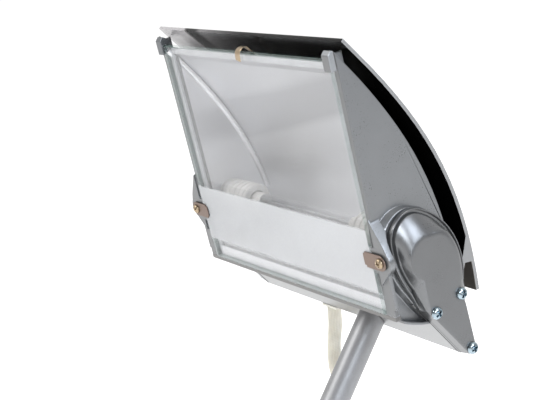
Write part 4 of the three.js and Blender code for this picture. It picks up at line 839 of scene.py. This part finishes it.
def thin_glass(name, tint, gloss):
    """Light goes straight through, but for a mirror share that grows with the fifth power at the edge."""
    finish = Finish(name)
    finish.set(Base_Color=(1, 1, 1, 1), Metallic=1.0, Roughness=gloss)
    clear = finish.tree.nodes.new("ShaderNodeBsdfTransparent")
    clear.inputs["Color"].default_value = tint
    slant = finish.node("ShaderNodeLayerWeight", {}, {"Blend": 0.5})["Facing"]
    square = slant * slant
    blend = finish.tree.nodes.new("ShaderNodeMixShader")
    finish.put(blend.inputs[0], square * square * slant * RIM_MIRROR + FACE_MIRROR)
    finish.tree.links.new(clear.outputs["BSDF"], blend.inputs[1])
    finish.tree.links.new(finish.shader.outputs["BSDF"], blend.inputs[2])
    finish.tree.links.new(blend.outputs["Shader"], finish.tree.nodes["Material Output"].inputs["Surface"])
    return finish


clear_glass = thin_glass("clear_glass", (0.975, 0.976, 0.978, 1), 0.03)
green_edge = Finish("green_edge").set(Base_Color=(0.3, 0.42, 0.38, 1), Roughness=0.3, Alpha=0.22)
shaded_edge = Finish("shaded_edge").set(Base_Color=(0.07, 0.08, 0.08, 1), Roughness=0.5, Alpha=0.75)
pane = on_head("glass_pane", slab(PANE_LOW, PANE_HIGH, PANE_CHAMFER), clear_glass, ["glass"], 20)
pane.data.materials.append(green_edge.material)
pane.data.materials.append(shaded_edge.material)
pane_shares = np.ones(14, np.int32)
pane_shares[-2:] = 0
pane_shares[LEFT_FRONT_CHAMFER] = 2
pane.data.polygons.foreach_set("material_index", pane_shares)

frost = Finish("frosting")
place = frost.place()
# Millimetres up the glass, from the model's Z and Y
height = place["Z"] * 963 + place["Y"] * -270 - 110.0
grain = frost.noise(900, 3)
cloud = frost.noise(26, 2)
cover = (height + cloud * 3).step(*FROST_START) - (height + cloud * 2).step(*FROST_END)
density = grain * 0.08 + cloud * 0.12 + place["X"] * 0.8 + 0.56
frost.set(Base_Color=(0.6, 0.605, 0.615, 1), Roughness=0.7, Alpha=cover * density)
on_head("glass_frosting", slab(FROST_LOW, FROST_HIGH, FROST_EDGE), frost, (), 20)

# %% [markdown]
# ## Lamp chamber
# The reflector is thin bright sheet, rolled to the cover's curve, and its edge is turned over into a bead
# that shines as one bright line through the glass. Its sheet is not quite even, and its colour carries broad
# soft waves with painted reflections: a dark slanting streak, and a lightening towards the right and the
# bottom. A flank on each side, a brow above and a floor below join it to the glass.

# %% Reflector
CHAMBER = np.array([(1.8, 148.6), (36.5, 98.0), (50.8, 62.0), (52.0, 8.0)])
BEAD_DIAMETER, BEAD_INSET, BEAD_SIDES = 3.8, 3.8, 18
BEAD_START, BEAD_RUN = 0.045, 0.8
BEAD_TOP_X, BEAD_CLOSING = 88.9, 6.5
FLANK_ROWS = 60
FLANK_FRONT_X, FLANK_FRONT_Y = 89.6, 7.8
FLANK_SHRINK, FLANK_DROP = 0.985, 1
SHEET_THICKNESS, SHEET_INSET = 0.4, 2.2
BROW_FRONT, BROW_SHARE, BROW_HALF = np.array([4.5, 137.8]), 0.1, 89
BROW_DROP = np.array([0.35, -0.35])
FLOOR_FRONT, FLOOR_SHARE, FLOOR_HALF = np.array([4.6, 4.0]), 0.93, 88.5
FLOOR_SAG = 2.2


def chamber_curve(t, inset):
    """The chamber's cubic curve in Y and Z, moved in by inset along its own normals."""
    t = np.asarray(t)[:, None]
    p0, p1, p2, p3 = CHAMBER
    curve = p0 * (1 - t) ** 3 + p1 * 3 * t * (1 - t) ** 2 + p2 * 3 * t * t * (1 - t) + p3 * t**3
    way = (p1 - p0) * (1 - t) ** 2 + (p2 - p1) * 2 * t * (1 - t) + (p3 - p2) * t * t
    way /= np.linalg.norm(way, axis=1, keepdims=True)
    return curve + inset * np.stack([way[:, 1], -way[:, 0]], -1)


def to_chamber(front, t, share):
    """Points on a straight line in Y and Z from a front point to the chamber's curve, by their share."""
    share = share[:, None]
    return front * (1 - share) + chamber_curve([t], SHEET_INSET) * share


def cross_sheet(line, half_width, drop):
    """A sheet along a line in Y and Z, from one flank to the other, made thick by a drop."""
    under = line - drop
    edges = ((-half_width, line), (half_width, line), (half_width, under), (-half_width, under))
    return np.stack([at_x(x, edge) for x, edge in edges], 1)


share = np.linspace(0, 1, FLANK_ROWS)
bead_line = chamber_curve(BEAD_START + BEAD_RUN * share, BEAD_INSET)
bead_x = BEAD_TOP_X - BEAD_CLOSING * share
for side, name in SIDES:
    rear = at_x(side * bead_x, bead_line)
    bead = sweep(rear, (1, 0, 0), BEAD_DIAMETER, BEAD_DIAMETER, BEAD_SIDES)
    on_head(f"reflector_bead_{name}", bead, bead_sheet, ())
    front_z = bead_line[:, 1] * FLANK_SHRINK - FLANK_DROP
    front_line = np.column_stack([np.full(FLANK_ROWS, FLANK_FRONT_Y), front_z])
    front = at_x(side * FLANK_FRONT_X, front_line)
    thick = np.array([side * SHEET_THICKNESS, 0, 0])
    flank = np.stack([front, rear, rear + thick, front + thick], 1)
    on_head(f"reflector_flank_{name}", flank, flank_sheet, ())

brow_line = to_chamber(BROW_FRONT, BROW_SHARE, np.linspace(0, 1, 8))
brow = cross_sheet(brow_line, BROW_HALF, BROW_DROP)
on_head("reflector_brow", brow, bright_sheet, ())
floor_share = np.linspace(0, 1, 10)
floor_line = to_chamber(FLOOR_FRONT, FLOOR_SHARE, floor_share)
floor_line[:, 1] -= FLOOR_SAG * np.sin(np.pi * floor_share)
floor_sheet = cross_sheet(floor_line, FLOOR_HALF, [0, SHEET_THICKNESS])
on_head("reflector_floor", floor_sheet, lower_sheet, ())

# %% [markdown]
# A pale lip of the glass's seal stands up behind its lower edge. At both ends a short cast foot joins the
# cheek's rib to the rail.

# %% Seal lip and cheek feet
LIP_LOW, LIP_HIGH, LIP_EDGE = (-88.6, 4.06, -2.7), (88.6, 4.24, 4.1), 0.02
FOOT_INNER_X, FOOT_OUTER_X, FOOT_EDGE = 90.3, 98.0, 0.1
FOOT_FRONT_Y, FOOT_REAR_Y, FOOT_LOW_Z, FOOT_HIGH_Z = 1.8, 4.2, -3.15, 1.4

on_head("seal_lip", slab(LIP_LOW, LIP_HIGH, LIP_EDGE), lower_sheet, (), 20)
for side, name in SIDES:
    left_x, right_x = sorted((side * FOOT_INNER_X, side * FOOT_OUTER_X))
    foot = slab((left_x, FOOT_FRONT_Y, FOOT_LOW_Z), (right_x, FOOT_REAR_Y, FOOT_HIGH_Z), FOOT_EDGE)
    # The feet wear the darker front paint, a painted shade.
    on_head(f"cheek_foot_{name}", foot, shaded_flange_paint, (), 30)

# %% [markdown]
# A sprung strip of bronze hooks over the glass's upper edge in the middle. It sits a little askew, and
# behind the edge it narrows to a tail.

# %% Top clip
CLIP_KNOTS = np.array([
    (1.6, -0.95, 139.2), (2.6, -0.8, 144.1), (3.4, 0.9, 146.2), (4.4, 3.2, 146.6), (5.4, 5.6, 143.8),
    (5.8, 10.5, 139.0), (6.0, 15.5, 132.8),
])
CLIP_WIDTH, CLIP_NARROWING, CLIP_THICKNESS = 5.4, 3.2, 0.55

clip_line = smooth_route(CLIP_KNOTS, 8)
clip_share = np.linspace(0, 1, len(clip_line))
clip_width = CLIP_WIDTH - CLIP_NARROWING * rise((clip_share - 0.45) / 0.4)
clip_rings = sweep(clip_line, (1, 0, 0), CLIP_THICKNESS, clip_width, 16)
on_head("top_clip_strip", clip_rings, brass, ["top_spring_clip"], 60)

# %% [markdown]
# The lamp holders are turned steatite barrels with shallow ribs, and the tungsten filament is a long coil
# inside the quartz tube. The quartz is drawn as one outer skin, so light crosses it only twice.

# %% Lamp holders and lamp
LAMP_AXIS = np.array([22.5, 35.0])
LATHE_SIDES = 56
BARREL_RADIUS, RIB_DEPTH, RIB_PITCH, RIB_END_X = 10, 0.7, 5.2, 88
COIL_TURNS, COIL_HALF, COIL_RADIUS, COIL_WIRE = 66, 44.5, 0.5, 0.24

barrel_x = np.linspace(58.2, 93.6, 90)
rib = rise(np.sin(2 * np.pi * (barrel_x - 58) / RIB_PITCH) * 1.6)
HOLDER_PROFILE = np.vstack([
    [(61.0, 2.3), (61.0, 5.5), (56.9, 5.5), (56.5, 5.9), (56.5, 8.7), (56.9, 9.5), (57.6, 10.0)],
    np.column_stack([barrel_x, BARREL_RADIUS - RIB_DEPTH * rib * (barrel_x < RIB_END_X)]),
    [(93.9, 10.0), (93.9, 11.1), (96.1, 11.1), (96.1, 2.3)],
])
QUARTZ_PROFILE = np.array([
    (-46.95, 1.5), (-46.95, 3.9), (-46.2, 4.7), (46.2, 4.7), (46.95, 3.9), (46.95, 1.5),
])


def lathe(profile, side):
    """A profile of distance and radius turned about the lamp's axis, mirrored where side is -1."""
    turn = np.linspace(0, 2 * np.pi, LATHE_SIDES, endpoint=False)[None, :]
    x, r = profile[:, :1], profile[:, 1:]
    y, z = LAMP_AXIS[0] + r * np.cos(turn), LAMP_AXIS[1] + r * np.sin(turn)
    return np.stack([side * x + 0 * turn, y, z], -1)


for side, name in SIDES:
    node = f"lamp_holder_{name}"
    on_head(f"{node}_barrel", lathe(HOLDER_PROFILE, side), ceramic, [node], 28)

coil_turn = np.linspace(0, 2 * np.pi * COIL_TURNS, COIL_TURNS * 12)
coil = np.column_stack([
    np.linspace(-COIL_HALF, COIL_HALF, len(coil_turn)),
    LAMP_AXIS[0] + COIL_RADIUS * np.cos(coil_turn),
    LAMP_AXIS[1] + COIL_RADIUS * np.sin(coil_turn),
])
coil_rings = sweep(coil, (1, 0, 0), COIL_WIRE, COIL_WIRE, 6)
on_head("filament_coil", coil_rings, tungsten, ["filament"], 80)
quartz = thin_glass("quartz", (0.99, 0.99, 0.99, 1), 0.02)
on_head("quartz_tube", lathe(QUARTZ_PROFILE, 1), quartz, ["lamp_tube"], 28)

# %% [markdown]
# ## Arm tube
# The arm is drawn steel tube, bent once and cut off on a slant under the box. It is a hose: an outer skin
# and an inner one along the same line, joined at both ends. The last rings are sheared along the tube onto
# the plane of the cut.

# %% Arm tube
TUBE_RADIUS, TUBE_WALL = 8.5, 1.2
TUBE_RISE = math.radians(60.5)
TUBE_BEND = 70.0
TUBE_UPPER = 150.0
TUBE_LOW_Y, TUBE_BEND_Y = 72.0, 172.0
TUBE_SIDES = 64
TUBE_CLEARANCE = 0.3
LEVEL_RINGS, BEND_RINGS, UPPER_RINGS = 12, 25, 17
CUT_NORMAL = np.array([0, -0.6863, -0.7273])

bend = np.linspace(0, TUBE_RISE, BEND_RINGS)
rise_way = np.array([0, math.cos(TUBE_RISE), math.sin(TUBE_RISE)])
level_y = np.linspace(TUBE_LOW_Y, TUBE_BEND_Y, LEVEL_RINGS + 1)[:-1]
level = at_x(0, np.column_stack([level_y, np.zeros(LEVEL_RINGS)]))
curved = at_x(0, np.column_stack([TUBE_BEND_Y + TUBE_BEND * np.sin(bend), TUBE_BEND * (1 - np.cos(bend))]))
upper = curved[-1] + rise_way * np.linspace(0, TUBE_UPPER, UPPER_RINGS + 1)[1:, None]
tube_path = np.vstack([level, curved, upper])
tube_top = upper[-1]


def tube_skin(radius):
    """Rings of one radius along the arm, the last one slid along the tube onto the slanted cut."""
    rings = sweep(tube_path, (1, 0, 0), 2 * radius, 2 * radius, TUBE_SIDES)
    slide = ((tube_top + TUBE_CLEARANCE * CUT_NORMAL - rings[-1]) @ CUT_NORMAL) / (rise_way @ CUT_NORMAL)
    rings[-1] += slide[:, None] * rise_way
    return rings


tube_rings = np.concatenate([tube_skin(TUBE_RADIUS), tube_skin(TUBE_RADIUS - TUBE_WALL)[::-1]])
index = np.arange(len(tube_rings) * TUBE_SIDES).reshape(-1, TUBE_SIDES)
after = np.roll(index, -1, axis=1)
beyond = np.roll(index, -1, axis=0)
beyond_after = np.roll(beyond, -1, axis=1)
tube_faces = np.stack([index, beyond, beyond_after, after], -1).reshape(-1, 4).tolist()
piece("arm_tube_skin", to_metres(tube_rings), tube_faces, "arm", tube_metal, ["arm_tube"], 40)

# %% [markdown]
# ## Studio
# The photograph was taken on white, with the light soft and mostly from the front left, and the room
# behind the camera darker. The world is a plain gradient by direction: white where the photograph has its
# white ground, and grey towards the right and behind the camera.

# %% Floor, world and lights
FLOOR_REACH, FLOOR_Z = 9, -0.35
FLOOR_CORNERS = [(-1, -1), (1, -1), (1, 1), (-1, 1)]
WHITE_SIDE = (-0.78, 0.52, 0.35)
WORLD_RAMP = {"From Min": -0.5, "From Max": 0.75, "To Min": 0.25, "To Max": 1.05}
HEAD_MIDDLE = (-0.03, 0.24, 0.22)

floor_finish = Finish("pale_floor").set(Base_Color=(0.9, 0.9, 0.9, 1), Roughness=0.9)
floor_finish.set(Emission_Color=(1, 1, 1, 1), Emission_Strength=0.55)
floor_mesh = bpy.data.meshes.new("floor")
floor_points = [(x * FLOOR_REACH, y * FLOOR_REACH, FLOOR_Z) for x, y in FLOOR_CORNERS]
floor_mesh.from_pydata(floor_points, [], [(0, 1, 2, 3)])
floor_mesh.materials.append(floor_finish.material)
floor = bpy.data.objects.new("floor", floor_mesh)
bpy.context.scene.collection.objects.link(floor)

world = bpy.data.worlds.new("studio")
world.use_nodes = True
sky = world.node_tree
ways = sky.nodes.new("ShaderNodeTexCoord")
whiteness = sky.nodes.new("ShaderNodeVectorMath")
whiteness.operation = "DOT_PRODUCT"
whiteness.inputs[1].default_value = WHITE_SIDE
ramp = sky.nodes.new("ShaderNodeMapRange")
ramp.interpolation_type = "SMOOTHSTEP"
for name, value in WORLD_RAMP.items():
    ramp.inputs[name].default_value = value
sky.links.new(ways.outputs["Generated"], whiteness.inputs[0])
sky.links.new(whiteness.outputs["Value"], ramp.inputs["Value"])
sky.links.new(ramp.outputs["Result"], sky.nodes["Background"].inputs["Strength"])
sky.nodes["Background"].inputs["Color"].default_value = (1, 1, 1, 1)
bpy.context.scene.world = world
bpy.context.scene.view_settings.view_transform = "Standard"


def soft_light(name, place, aim, size, power, colour=(1, 1, 1)):
    """A rectangular lamp at a place, turned to look at its aim."""
    lamp = bpy.data.lights.new(name, "AREA")
    lamp.shape = "RECTANGLE"
    lamp.size, lamp.size_y = size
    lamp.energy = power
    lamp.color = colour
    made = bpy.data.objects.new(name, lamp)
    made.location = place
    made.rotation_euler = (Vector(aim) - Vector(place)).to_track_quat("-Z", "Y").to_euler()
    bpy.context.scene.collection.objects.link(made)


soft_light("key", (-0.6, -1.3, 1.3), HEAD_MIDDLE, (0.9, 0.7), 22)
soft_light("top", (0.9, 0.5, 1.6), HEAD_MIDDLE, (0.7, 0.5), 5)
soft_light("side", (1.2, 0.5, 0.8), (0.07, 0.26, 0.22), (0.5, 0.5), 8, (0.8, 0.88, 1))
soft_light("front", (1.3, -0.25, 0.72), (0.07, 0.25, 0.2), (0.42, 0.42), 9, (0.86, 0.92, 1))
